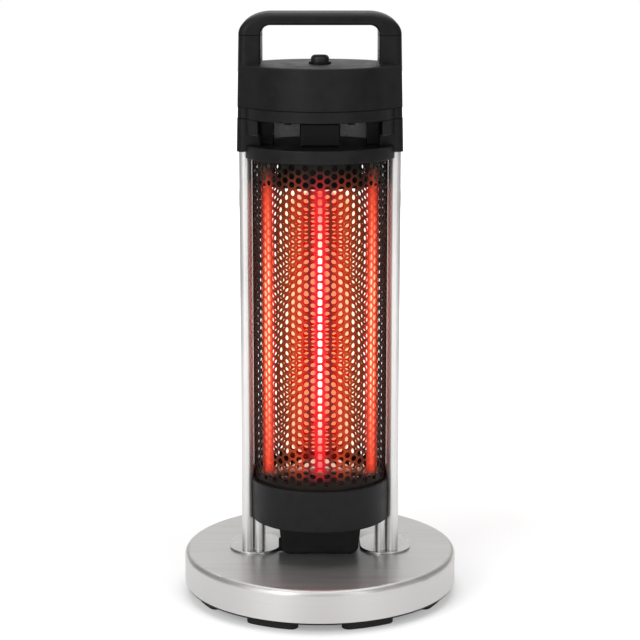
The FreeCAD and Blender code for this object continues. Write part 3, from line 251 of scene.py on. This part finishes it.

# %% [markdown]
# ## Moulded black plastic
# Head, legs, grip and terminal box are moulded in black plastic with a fine spark-eroded texture. Its
# edges are rubbed smoother and carry a thin painted highlight in their colour. The Bevel node compares the
# rounded normal with the true one: they differ only near an edge, which gives a mask for that line without
# touching the mesh. Where two mouldings meet, a painted shadow line is drawn at the height of the seam, read
# from the frame. The box in the vent has a brighter painted highlight on its edges than the rest.

# %% Edge mask and black plastic
EDGE_RADIUS = 0.0012
EDGE_TURN = (0.99, 0.80)
EDGE_PAINTED_HIGHLIGHT = 0.6
EDGE_POLISH = 0.12
SEAM_SHADOW = (0.0003, 0.0008)
MOTTLE = (70.0, 70.0, 70.0)
PIT_STRENGTH = 0.5
SEAM_BLACK = "010101"


def edge_mask(tree, radius):
    """One near a sharp edge and zero elsewhere, with the rounded normal that goes with it."""
    rounded = add(tree, "ShaderNodeBevel", {"Radius": radius}, samples=6).outputs["Normal"]
    true_normal = add(tree, "ShaderNodeNewGeometry", {}).outputs["Normal"]
    agree = add(tree, "ShaderNodeVectorMath", {0: rounded, 1: true_normal}, operation="DOT_PRODUCT")
    return spread(tree, agree.outputs["Value"], EDGE_TURN, FULL), rounded


def seam_mask(tree, heights):
    """One in the shadow line of a level seam at any of the heights."""
    height = add(tree, "ShaderNodeSeparateXYZ", {"Vector": place(tree)}).outputs["Z"]
    mask = 0.0
    for seam in heights:
        away = sums(tree, "ABSOLUTE", sums(tree, "SUBTRACT", height, seam), 0.0)
        mask = sums(tree, "MAXIMUM", mask, spread(tree, away, SEAM_SHADOW, (1.0, 0.0)))
    return mask


def moulded(name, dark, pale, painted_edge_colour, roughness, texture, depth, seams=()):
    """Black moulding: mottled colour, fine texture, painted highlights on edges, painted shadow in seams."""
    material, tree, shader = new_finish(name, {"Specular IOR Level": 0.16})
    edge, rounded = edge_mask(tree, EDGE_RADIUS)
    mottle = grain(tree, MOTTLE, detail=4.0)
    body = tint(tree, spread(tree, mottle, EVEN, FULL), linear(dark), linear(pale))
    pits = grain(tree, texture, detail=2.0)
    bump_inputs = {"Height": pits, "Distance": depth, "Strength": PIT_STRENGTH, "Normal": rounded}
    bump = add(tree, "ShaderNodeBump", bump_inputs)
    uneven = spread(tree, mottle, EVEN, roughness)
    # The edges' colour is lightened by a painted highlight.
    body_with_painted_edges = tint(tree, sums(tree, "MULTIPLY", edge, EDGE_PAINTED_HIGHLIGHT), body, linear(painted_edge_colour))
    # Painted shadow lines darken the seams.
    shadow = seam_mask(tree, seams) if seams else 0.0
    gloss = sums(tree, "SUBTRACT", uneven, sums(tree, "MULTIPLY", edge, EDGE_POLISH))
    moulded_inputs = {
        "Base Color": tint(tree, shadow, body_with_painted_edges, linear(SEAM_BLACK)),
        "Roughness": sums(tree, "MAXIMUM", gloss, shadow),
        "Normal": bump.outputs["Normal"],
    }
    feed(tree, shader, moulded_inputs)
    return material


SPARK_TEXTURE = (1500.0, 1500.0, 1500.0)
SPARK_DEPTH = 0.00008
PLASTIC_GLOSS = (0.42, 0.52)
PLASTIC = ("0d0d0e", "131314")
seam_heights = [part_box("head_ring")[1].z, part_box("pole_socket_left")[1].z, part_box("handle_grip")[0].z]
spark_skin = (PLASTIC_GLOSS, SPARK_TEXTURE, SPARK_DEPTH)
# The third colour is the painted highlight on the edges.
black_plastic = moulded("black plastic", *PLASTIC, "2a2a2b", *spark_skin, seam_heights)
wear(black_plastic, "pole_socket_left", "pole_socket_right", "head_ring", "head_cover", "handle_grip")
wear(black_plastic, "terminal_box", "cable_gland", "button_collar")
wear(black_plastic, "switch_body", "tip_switch_body", "tip_plunger", "head_screws")
# The box in the vent gets a brighter painted highlight on its edges.
wear(moulded("duct plastic", *PLASTIC, "4c4c4d", *spark_skin), "vent_duct")

# %% [markdown]
# ## Powder-coated steel
# The cup, the plate under the head and the bottom plate are steel with a black powder coat. Powder coat
# has a soft orange-peel skin, larger and shallower than a moulded texture.

# %% Powder coat
ORANGE_PEEL = (420.0, 420.0, 420.0)
PEEL_DEPTH = 0.00012
COAT_GLOSS = (0.36, 0.46)
# Its edges carry the same painted highlight, in the third colour.
powder_coat = moulded("black powder coat", "101011", "161617", "28282a", COAT_GLOSS, ORANGE_PEEL, PEEL_DEPTH)
wear(powder_coat, "guard_cap", "lamp_cup", "base_plate")

# %% [markdown]
# ## Rubber feet
# The feet and the button's cap are black rubber: rougher than the plastic and a little dusty. Noise that
# is stretched into patches stands for the dust, and a fine noise for the pits of the mould.

# %% Rubber
DUST = (25.0, 25.0, 40.0)
DUST_PATCHES = (0.45, 0.75)
RUBBER_PITS = (900.0, 900.0, 900.0)
PIT_DEPTH = 0.0001


def rubber_colour(tree):
    """Dark rubber with a breath of dust."""
    dust = spread(tree, grain(tree, DUST, detail=5.0), DUST_PATCHES, (0.0, 0.5))
    return tint(tree, dust, linear("161616"), linear("2e2d2b"))


rubber, tree, shader = new_finish("black rubber", {"Specular IOR Level": 0.3})
rubber_inputs = {
    "Base Color": rubber_colour(tree),
    "Roughness": spread(tree, grain(tree, DUST), EVEN, (0.6, 0.8)),
    "Normal": relief(tree, grain(tree, RUBBER_PITS), PIT_DEPTH, strength=0.5),
}
feed(tree, shader, rubber_inputs)
wear(rubber, "base_feet")

# %% [markdown]
# ## Push button
# The button carries a pale power mark, a ring with a gap and a bar, which is printed on the real one. It
# could be an image or a decal. Here it is drawn in the shader from distances in the heater's own plan, so
# it stays sharp, follows the dome and moves with the button.

# %% Push button with its power mark
MARK_RADIUS = 0.0036
MARK_LINE = 0.0008
MARK_GAP = 0.0016
MARK_SOFT = 0.0002
BAR_MIDDLE_SHARE = 0.8
BAR_HALF_SHARE = 0.6
button_rubber, tree, shader = new_finish("button rubber", {"Specular IOR Level": 0.4})
button_low, button_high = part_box("power_button")
button_x = (button_low.x + button_high.x) / 2
button_y = (button_low.y + button_high.y) / 2
axes = add(tree, "ShaderNodeSeparateXYZ", {"Vector": place(tree)}).outputs
across = sums(tree, "SUBTRACT", axes["X"], button_x)
along = sums(tree, "SUBTRACT", axes["Y"], button_y)
across_squared = sums(tree, "MULTIPLY", across, across)
along_squared = sums(tree, "MULTIPLY", along, along)
reach = sums(tree, "SQRT", sums(tree, "ADD", across_squared, along_squared), 0.0)
from_ring = sums(tree, "ABSOLUTE", sums(tree, "SUBTRACT", reach, MARK_RADIUS), 0.0)
from_axis = sums(tree, "ABSOLUTE", across, 0.0)


def inside(tree, distance, limit):
    """One where a distance is under a limit, with a soft edge."""
    return spread(tree, distance, (limit - MARK_SOFT, limit + MARK_SOFT), (1.0, 0.0))


rear_half = spread(tree, along, (0.0, MARK_SOFT), FULL)
gap = sums(tree, "MULTIPLY", inside(tree, from_axis, MARK_GAP), rear_half)
ring = sums(tree, "MULTIPLY", inside(tree, from_ring, MARK_LINE / 2), sums(tree, "SUBTRACT", 1.0, gap))
from_bar = sums(tree, "ABSOLUTE", sums(tree, "SUBTRACT", along, MARK_RADIUS * BAR_MIDDLE_SHARE), 0.0)
bar_length = inside(tree, from_bar, MARK_RADIUS * BAR_HALF_SHARE)
bar = sums(tree, "MULTIPLY", inside(tree, from_axis, MARK_LINE / 2), bar_length)
mark = sums(tree, "MAXIMUM", ring, bar)
button_inputs = {
    "Base Color": tint(tree, mark, rubber_colour(tree), linear("c8c8c8")),
    "Roughness": spread(tree, grain(tree, DUST), EVEN, (0.40, 0.55)),
    "Normal": relief(tree, grain(tree, RUBBER_PITS), PIT_DEPTH / 2, strength=0.4),
}
feed(tree, shader, button_inputs)
wear(button_rubber, "power_button")

# %% [markdown]
# ## Perforated guard
# The guard is thin steel, heated by the lamps until it turns brown. Its middle takes on the lamps' red
# light, its sides stay dark. The lamps light its inner face by themselves. The outer face would stay nearly
# black in a bright studio, so the lamps' red light on it is painted in as a weak red glow in the steel,
# placed by the heater's own coordinates. A colour ramp over the distance from the middle carries the hue
# of this painted light, strong in front of the lamps and dark at the sides. Two ramps along the height let
# it rise above the lower lamp plate and fall again at the upper one.

# %% Guard steel
GUARD_OXIDE = (60.0, 60.0, 60.0)
GUARD_PITS = (500.0, 500.0, 500.0)
GUARD_DEPTH = 0.00005
# Hue of the painted lamp light on the outer face, by distance from the middle.
GLOW_ACROSS = [
    (0.000, "ee1226"),
    (0.006, "d4122a"),
    (0.011, "6a1210"),
    (0.018, "c02a10"),
    (0.028, "a8380c"),
    (0.038, "6e2a08"),
    (0.048, "521c08"),
    (0.052, "d83822"),
    (0.0555, "ff5a3e"),
    (0.059, "b42a18"),
    (0.062, "1a0c0a"),
]
GLOW_RISE = (0.010, 0.024)
GLOW_FALL = (-0.012, 0.020)
PAINTED_GLOW_SHARES = (0.3, 0.9)
PAINTED_GLOW_LEVELS = (1.4, 0.9)
guard_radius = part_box("guard")[1].x
lamp_low, lamp_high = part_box("lamp_tube_centre")
lamp_middle = (lamp_low.z + lamp_high.z) / 2
lamp_half = (lamp_high.z - lamp_low.z) / 2
lower_plate_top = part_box("lower_lamp_plate")[1].z
upper_plate_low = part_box("upper_lamp_plate")[0].z
guard_steel, tree, shader = new_finish("guard steel", {"Metallic": 0.0, "Specular IOR Level": 0.08})
axes = add(tree, "ShaderNodeSeparateXYZ", {"Vector": place(tree)}).outputs
across = sums(tree, "DIVIDE", sums(tree, "ABSOLUTE", axes["X"], 0.0), guard_radius)
glow = add(tree, "ShaderNodeValToRGB", {"Fac": across})
for index, (x, colour) in enumerate(GLOW_ACROSS):
    stops = glow.color_ramp.elements
    stop = stops[index] if index < len(stops) else stops.new(x / guard_radius)
    stop.position = x / guard_radius
    stop.color = linear(colour)
rise = spread(tree, axes["Z"], [lower_plate_top + step for step in GLOW_RISE], FULL)
fall = spread(tree, axes["Z"], [upper_plate_low + step for step in GLOW_FALL], (1.0, 0.0))
from_middle = sums(tree, "ABSOLUTE", sums(tree, "SUBTRACT", axes["Z"], lamp_middle), 0.0)
painted_glow_boost = spread(tree, from_middle, [share * lamp_half for share in PAINTED_GLOW_SHARES], PAINTED_GLOW_LEVELS)
# Strength of the painted lamp light on the outer face.
glow_share = sums(tree, "MULTIPLY", sums(tree, "MULTIPLY", rise, fall), painted_glow_boost)
oxide = grain(tree, GUARD_OXIDE, detail=5.0)
guard_inputs = {
    "Base Color": tint(tree, spread(tree, oxide, EVEN, FULL), linear("15110e"), linear("231d18")),
    "Roughness": spread(tree, oxide, EVEN, (0.35, 0.55)),
    "Normal": relief(tree, grain(tree, GUARD_PITS), GUARD_DEPTH, strength=0.4),
    "Emission Color": glow.outputs["Color"],
    "Emission Strength": sums(tree, "MULTIPLY", glow_share, spread(tree, oxide, EVEN, (0.8, 1.0))),
}
feed(tree, shader, guard_inputs)
wear(guard_steel, "guard")
print("guard radius:", round(guard_radius, 4), "lamp length:", round(2 * lamp_half, 4))

# %% [markdown]
# ## Glowing lamps
# Each lamp is a quartz tube around a carbon ribbon. Lit, the ribbon is white-hot in the middle and red
# near its ends, and the tube around it glows red. The tube is a clear shell: its alpha lets the ribbon
# through, and it adds a red glow and a glossy skin. The glow's strength follows the height along the
# lamp.

# %% Ribbons and tubes
RIBBON_WEAVE = (500.0, 500.0, 160.0)
TUBE_CLOUD = (90.0, 90.0, 25.0)
RIBBON_HOT_SHARE = 0.30
TUBE_HOT_SHARE = 0.25
COLD_SHARE = 0.95


def lamp_heat(tree, hot_share):
    """One in the hot middle of a lamp, falling to zero at its ends."""
    axes = add(tree, "ShaderNodeSeparateXYZ", {"Vector": place(tree)}).outputs
    height = sums(tree, "ABSOLUTE", sums(tree, "SUBTRACT", axes["Z"], lamp_middle), 0.0)
    return spread(tree, height, (lamp_half * hot_share, lamp_half * COLD_SHARE), (1.0, 0.0))


def make_ribbon(name, middle, ends, strength):
    """A carbon ribbon, brightest in its middle."""
    material, tree, shader = new_finish(name, {"Base Color": linear("3a1208"), "Roughness": 0.8})
    glow_share = lamp_heat(tree, RIBBON_HOT_SHARE)
    weave = spread(tree, grain(tree, RIBBON_WEAVE), EVEN, (0.85, 1.0))
    ribbon_inputs = {
        "Emission Color": tint(tree, glow_share, linear(ends), linear(middle)),
        "Emission Strength": sums(tree, "MULTIPLY", spread(tree, glow_share, FULL, (0.6, strength)), weave),
    }
    feed(tree, shader, ribbon_inputs)
    return material


def make_tube(name, middle, ends, strength):
    """A quartz tube that glows around its ribbon."""
    tube_constants = {"Alpha": 0.55, "Roughness": 0.06, "Base Color": linear("5a1008")}
    material, tree, shader = new_finish(name, tube_constants)
    glow_share = lamp_heat(tree, TUBE_HOT_SHARE)
    cloud = spread(tree, grain(tree, TUBE_CLOUD), EVEN, (0.8, 1.0))
    tube_inputs = {
        "Emission Color": tint(tree, glow_share, linear(ends), linear(middle)),
        "Emission Strength": sums(tree, "MULTIPLY", spread(tree, glow_share, FULL, (0.7, strength)), cloud),
    }
    feed(tree, shader, tube_inputs)
    return material


wear(make_ribbon("centre ribbon", "fff0f0", "ff3020", 30.0), "lamp_filament_centre")
wear(make_ribbon("side ribbon", "ffd9b0", "ff3818", 6.0), "lamp_filament_left", "lamp_filament_right")
wear(make_tube("centre tube", "ff3048", "e01020", 4.0), "lamp_tube_centre")
wear(make_tube("side tube", "ff5a30", "e02a10", 1.8), "lamp_tube_left", "lamp_tube_right")

# %% [markdown]
# ## Glow around the middle lamp
# In the photograph the light that comes through the guard is peach, not white: the lamps' glow hangs in
# front of the pale background. The real heater has no piece there, only light. A volume could glow in
# this way, but it renders slowly and noisily, so thin clear sleeves around the middle lamp stand for it.
# Each is a surface of revolution that draws in at both ends, so it shows no rim. It bends no light, tints
# what shows through it and adds a little red of its own. Nested sleeves make the tint fade out towards
# the sides.

# %% Glow sleeves
GLOW_SLEEVES = [
    (0.020, "e4b09a"),
    (0.034, "e8bca6"),
    (0.048, "f4dec8"),
]
GLOW_TURNS = 64
GLOW_RINGS = 48
GLOW_ENDS = (0.016, 0.004)
GLOW_SQUARENESS = 14
GLOW_DRIFT = (60.0, 60.0, 18.0)
CLEAR = {"Transmission Weight": 1.0, "IOR": 1.0, "Roughness": 0.0, "Specular IOR Level": 0.0}


def glow_skin(name, clear):
    """A skin that tints what is seen through it and glows a little."""
    material, tree, shader = new_finish(name, CLEAR)
    drift = spread(tree, grain(tree, GLOW_DRIFT), EVEN, FULL)
    thinning = spread(tree, drift, FULL, (0.0, 0.15))
    glow_inputs = {
        "Base Color": tint(tree, thinning, linear(clear), WHITE),
        "Emission Color": linear("ff3010"),
        "Emission Strength": spread(tree, drift, FULL, (0.07, 0.05)),
    }
    feed(tree, shader, glow_inputs)
    return material


def glow_sleeve(name, radius, clear):
    """A long sleeve around the lamp's axis, drawn in towards both ends."""
    low = lower_plate_top + GLOW_ENDS[0]
    high = upper_plate_low - GLOW_ENDS[1]
    sleeve = bmesh.new()
    turns = [2.0 * pi * turn / GLOW_TURNS for turn in range(GLOW_TURNS)]
    rings = []
    for ring in range(1, GLOW_RINGS):
        share = 2.0 * ring / GLOW_RINGS - 1.0
        reach = radius * (1.0 - abs(share) ** GLOW_SQUARENESS) ** 0.5
        height = low + (high - low) * ring / GLOW_RINGS
        rings.append([sleeve.verts.new((reach * cos(turn), reach * sin(turn), height)) for turn in turns])
    for lower, upper in zip(rings, rings[1:]):
        for turn in range(GLOW_TURNS):
            after = (turn + 1) % GLOW_TURNS
            sleeve.faces.new((lower[turn], lower[after], upper[after], upper[turn]))
    mesh = bpy.data.meshes.new(name)
    sleeve.to_mesh(mesh)
    sleeve.free()
    mesh.polygons.foreach_set("use_smooth", [True] * len(mesh.polygons))
    mesh.materials.append(glow_skin(name, clear))
    piece = bpy.data.objects.new(name, mesh)
    bpy.context.scene.collection.objects.link(piece)
    piece.visible_shadow = False
    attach(piece, "heater")
    return piece


sleeves = [glow_sleeve(f"glow_sleeve_{index + 1}", *sleeve) for index, sleeve in enumerate(GLOW_SLEEVES)]
print("glow sleeves:", len(sleeves))

# %% [markdown]
# ## Pieces inside
# Behind the guard and under the head sit the working pieces: the upper lamp plate, black from heat,
# ceramic sockets, nickel lamp caps, zinc-plated screws and brackets, brass terminals, a cast-iron weight
# and sleeved leads. Little of them shows, but each has its own metal or clay, made from one recipe: two
# close colours, an uneven gloss and a surface relief.

# %% Plain finishes for the inner pieces
def inner_finish(name, dark, pale, metallic, gloss, texture, depth):
    """Two close colours, uneven gloss and a relief, for pieces that are half hidden."""
    material, tree, shader = new_finish(name, {"Metallic": metallic})
    mottle = grain(tree, texture, detail=4.0)
    inner_inputs = {
        "Base Color": tint(tree, spread(tree, mottle, EVEN, FULL), linear(dark), linear(pale)),
        "Roughness": spread(tree, mottle, EVEN, gloss),
        "Normal": relief(tree, mottle, depth, strength=0.5),
    }
    feed(tree, shader, inner_inputs)
    return material


FINE = (400.0, 400.0, 400.0)
COARSE = (150.0, 150.0, 150.0)
ROLLED = (600.0, 40.0, 600.0)
WOVEN = (900.0, 900.0, 300.0)
SATIN = (0.45, 0.6)
PLATED = (0.25, 0.4)
zinc = inner_finish("zinc plate", "8d9096", "b4b7bc", 1.0, (0.30, 0.45), FINE, 0.00005)
wear(zinc, "base_screws", "base_standoffs", "pole_anchor_left", "pole_anchor_right", "pole_bolts")
wear(zinc, "post_bolts", "terminal_box_screws", "lower_plate_screws", "upper_plate_screws")
wear(zinc, "guard_cap_screws", "socket_screws", "grip_screws", "switch_bracket", "thermal_cutout")
baffle_grey = inner_finish("grey baffle", "b4b4b4", "c8c8c8", 0.0, SATIN, FINE, 0.00005)
wear(baffle_grey, "vent_baffle")
cast_iron = inner_finish("cast iron", "2c2c2d", "454546", 0.8, (0.6, 0.8), COARSE, 0.0004)
wear(cast_iron, "base_ballast")
heat_tinted = inner_finish("heat-tinted plate", "080503", "120b07", 0.0, (0.8, 0.95), ROLLED, 0.00003)
wear(heat_tinted, "upper_lamp_plate")
steatite = inner_finish("steatite", "6a6158", "8a8074", 0.0, SATIN, COARSE, 0.00008)
wear(steatite, "lower_lamp_holders", "upper_lamp_holders", "terminal_strip")
nickel = inner_finish("nickel cap", "9a948b", "b9b3aa", 1.0, PLATED, FINE, 0.00003)
wear(nickel, "lower_lamp_caps", "upper_lamp_caps")
brass = inner_finish("brass terminal", "9c7a35", "c09a4e", 1.0, PLATED, FINE, 0.00003)
wear(brass, "terminal_screws")
lead_sleeve = inner_finish("lead sleeve", "b7b2a6", "d6d2c8", 0.0, (0.7, 0.85), WOVEN, 0.0001)
wear(lead_sleeve, "lamp_leads", "pole_lead")

# %% [markdown]
# ## Lower reflector plate
# The plate under the lamps is bright sheet that throws the light of the back half of the guard outwards
# again. In front of the lamps heat and dust have baked it nearly black. One ramp along Y carries the
# metal from dull and dark to bright and smooth, and a rolled grain keeps both halves from being even.

# %% Lower reflector plate
BAKED_EDGE = (0.000, 0.020)
PLATE_DEPTH = 0.00002
plate_steel, tree, shader = new_finish("reflector plate", {"Metallic": 1.0})
axes = add(tree, "ShaderNodeSeparateXYZ", {"Vector": place(tree)}).outputs
bright_share = spread(tree, axes["Y"], BAKED_EDGE, FULL)
rolled = grain(tree, ROLLED, detail=4.0)
baked_gloss = spread(tree, bright_share, FULL, (0.7, 0.06))
rolled_gloss = spread(tree, rolled, EVEN, (0.0, 0.05))
plate_inputs = {
    "Base Color": tint(tree, bright_share, linear("0a0604"), linear("f0b08c")),
    "Roughness": sums(tree, "ADD", baked_gloss, rolled_gloss),
    "Normal": relief(tree, rolled, PLATE_DEPTH, strength=0.2),
}
feed(tree, shader, plate_inputs)
wear(plate_steel, "lower_lamp_plate")

# %% [markdown]
# ## Pieces without a finish
# A piece that was forgotten would keep the plain material it came with. The helper that puts a finish on a
# piece also notes its name, so the names that are missing can be listed here. The list has to be empty.

# %% List the nodes without a finish
bare = [name for name in nodes if name not in finished]
print("nodes without a finish:", bare)

# %% [markdown]
# ## Studio floor
# The photograph stands on white with a soft shadow. The floor is a pale diffuse sheet. For the camera,
# and for what metal and glass reflect, it adds a plain white glow that lifts it to the white of the
# background, while the diffuse part still darkens where the heater keeps the light away. The glow is weak
# under the heater, so that its shadow stays, and full further off. It doesn't light the heater.

# %% Floor
FLOOR_HALF = 8.0
FLOOR_LIFT = 0.25
FLOOR_FADE = (0.35, 1.1)
PAPER = ((0.80, 0.80, 0.80, 1.0), (0.82, 0.82, 0.82, 1.0))


def shown_rays(tree):
    """One for rays that show the background: from the camera, off gloss and through glass."""
    path = add(tree, "ShaderNodeLightPath", {}).outputs
    seen = sums(tree, "MAXIMUM", path["Is Camera Ray"], path["Is Glossy Ray"])
    return sums(tree, "MAXIMUM", seen, path["Is Transmission Ray"])


corners = [
    (-FLOOR_HALF, -FLOOR_HALF, 0.0),
    (FLOOR_HALF, -FLOOR_HALF, 0.0),
    (FLOOR_HALF, FLOOR_HALF, 0.0),
    (-FLOOR_HALF, FLOOR_HALF, 0.0),
]
floor_mesh = bpy.data.meshes.new("studio floor")
floor_mesh.from_pydata(corners, [], [(0, 1, 2, 3)])
floor = bpy.data.objects.new("studio floor", floor_mesh)
bpy.context.scene.collection.objects.link(floor)
floor_paper, tree, shader = new_finish("white paper", {"Roughness": 0.9, "Specular IOR Level": 0.0})
fibre = spread(tree, grain(tree, FINE), EVEN, FULL)
from_heater = add(tree, "ShaderNodeVectorMath", {0: place(tree)}, operation="LENGTH").outputs["Value"]
lift = spread(tree, from_heater, FLOOR_FADE, (FLOOR_LIFT, 1.0))
floor_inputs = {
    "Base Color": tint(tree, fibre, *PAPER),
    "Emission Color": WHITE,
    "Emission Strength": sums(tree, "MULTIPLY", shown_rays(tree), lift),
}
feed(tree, shader, floor_inputs)
floor.data.materials.append(floor_paper)
print("floor is", 2 * FLOOR_HALF, "m wide")

# %% [markdown]
# ## World
# A studio for such a photograph is a white room. The world is white where it is seen and a plain grey
# where it only lights, so that the background stays white while the lamps give the shape.

# %% World
WORLD_LEVEL = 0.42
world = bpy.data.worlds.new("white studio")
bpy.context.scene.world = world
world.use_nodes = True
tree = world.node_tree
background = tree.nodes["Background"]
level = sums(tree, "ADD", WORLD_LEVEL, sums(tree, "MULTIPLY", shown_rays(tree), 1.0 - WORLD_LEVEL))
feed(tree, background, {"Color": WHITE, "Strength": level})
print("world lights at", WORLD_LEVEL)

# %% [markdown]
# ## Soft boxes
# Large lamps close by give soft shadows. A soft box on each side of the camera and one overhead shape the
# heater. A weak fill behind the camera lifts the black plastic; it is left out of reflections, so that
# the metal doesn't mirror it.

# %% Soft boxes
AIM = Vector((0.0, 0.0, 0.32))
SOFT_BOXES = [
    ("left soft box", (-1.7, -1.9, 1.5), (1.6, 1.8), 38.0),
    ("right soft box", (1.9, -1.7, 1.3), (1.6, 1.8), 24.0),
    ("top soft box", (0.0, 0.3, 2.4), (1.8, 1.8), 22.0),
    ("front fill", (0.0, -2.7, 0.62), (1.0, 0.5), 9.0),
]


def soft_box(name, location, size, power):
    """A rectangular soft box that faces the heater."""
    lamp = bpy.data.lights.new(name, "AREA")
    lamp.shape = "RECTANGLE"
    lamp.size, lamp.size_y = size
    lamp.energy = power
    box = bpy.data.objects.new(name, lamp)
    bpy.context.scene.collection.objects.link(box)
    box.location = location
    box.rotation_euler = (AIM - box.location).to_track_quat("-Z", "Y").to_euler()
    return box


soft_boxes = [soft_box(*setting) for setting in SOFT_BOXES]
front_fill = soft_boxes[-1]
front_fill.visible_glossy = False
print("soft boxes:", len(soft_boxes))

# %% [markdown]
# ## Grey cards
# In a white room polished metal shows nothing but white. Photographers stand grey cards around it, which
# it mirrors as darker upright stripes. Three cards, left, right and in front, do that here. Only glossy
# rays see them.

# %% Grey cards
CARD_HEIGHT = 2.0
CARD_GREYS = (0.36, 0.45)
GREY_CARDS = [
    ("left card", (-1.1, -1.5), (-1.1, 1.2)),
    ("right card", (1.1, 1.2), (1.1, -1.5)),
    ("front card", (1.6, -4.0), (-1.6, -4.0)),
]


def grey_card(name, start, end):
    """An upright card between two places on the floor, which only glossy rays see."""
    points = [(*start, 0.0), (*end, 0.0), (*end, CARD_HEIGHT), (*start, CARD_HEIGHT)]
    mesh = bpy.data.meshes.new(name)
    mesh.from_pydata(points, [], [(0, 1, 2, 3)])
    card = bpy.data.objects.new(name, mesh)
    bpy.context.scene.collection.objects.link(card)
    material, tree, shader = new_finish(name, {"Roughness": 1.0})
    felt = spread(tree, grain(tree, COARSE), EVEN, CARD_GREYS)
    feed(tree, shader, {"Base Color": tint(tree, felt, BLACK, WHITE)})
    mesh.materials.append(material)
    card.visible_camera = False
    card.visible_diffuse = False
    card.visible_shadow = False
    card.visible_transmission = False


for setting in GREY_CARDS:
    grey_card(*setting)
print("grey cards:", len(GREY_CARDS))

# %% [markdown]
# ## Camera
# The photograph looks slightly down with a long lens. Its place was fitted to the round edges of base,
# cup, cap and head, whose ellipses open wider the lower they lie.

# %% Camera and view
CAMERA_PLACE = (0.0, -2.0, 0.716)
CAMERA_TILT = 78.36
CAMERA_LENS = 105.6
SENSOR_WIDTH = 36.0
camera_data = bpy.data.cameras.new("photograph")
camera_data.lens = CAMERA_LENS
camera_data.sensor_width = SENSOR_WIDTH
camera = bpy.data.objects.new("photograph", camera_data)
camera.location = CAMERA_PLACE
camera.rotation_euler = (radians(CAMERA_TILT), 0.0, 0.0)
bpy.context.scene.collection.objects.link(camera)
bpy.context.scene.camera = camera
bpy.context.scene.view_settings.view_transform = "Standard"
print("camera at", CAMERA_PLACE, "lens", CAMERA_LENS)
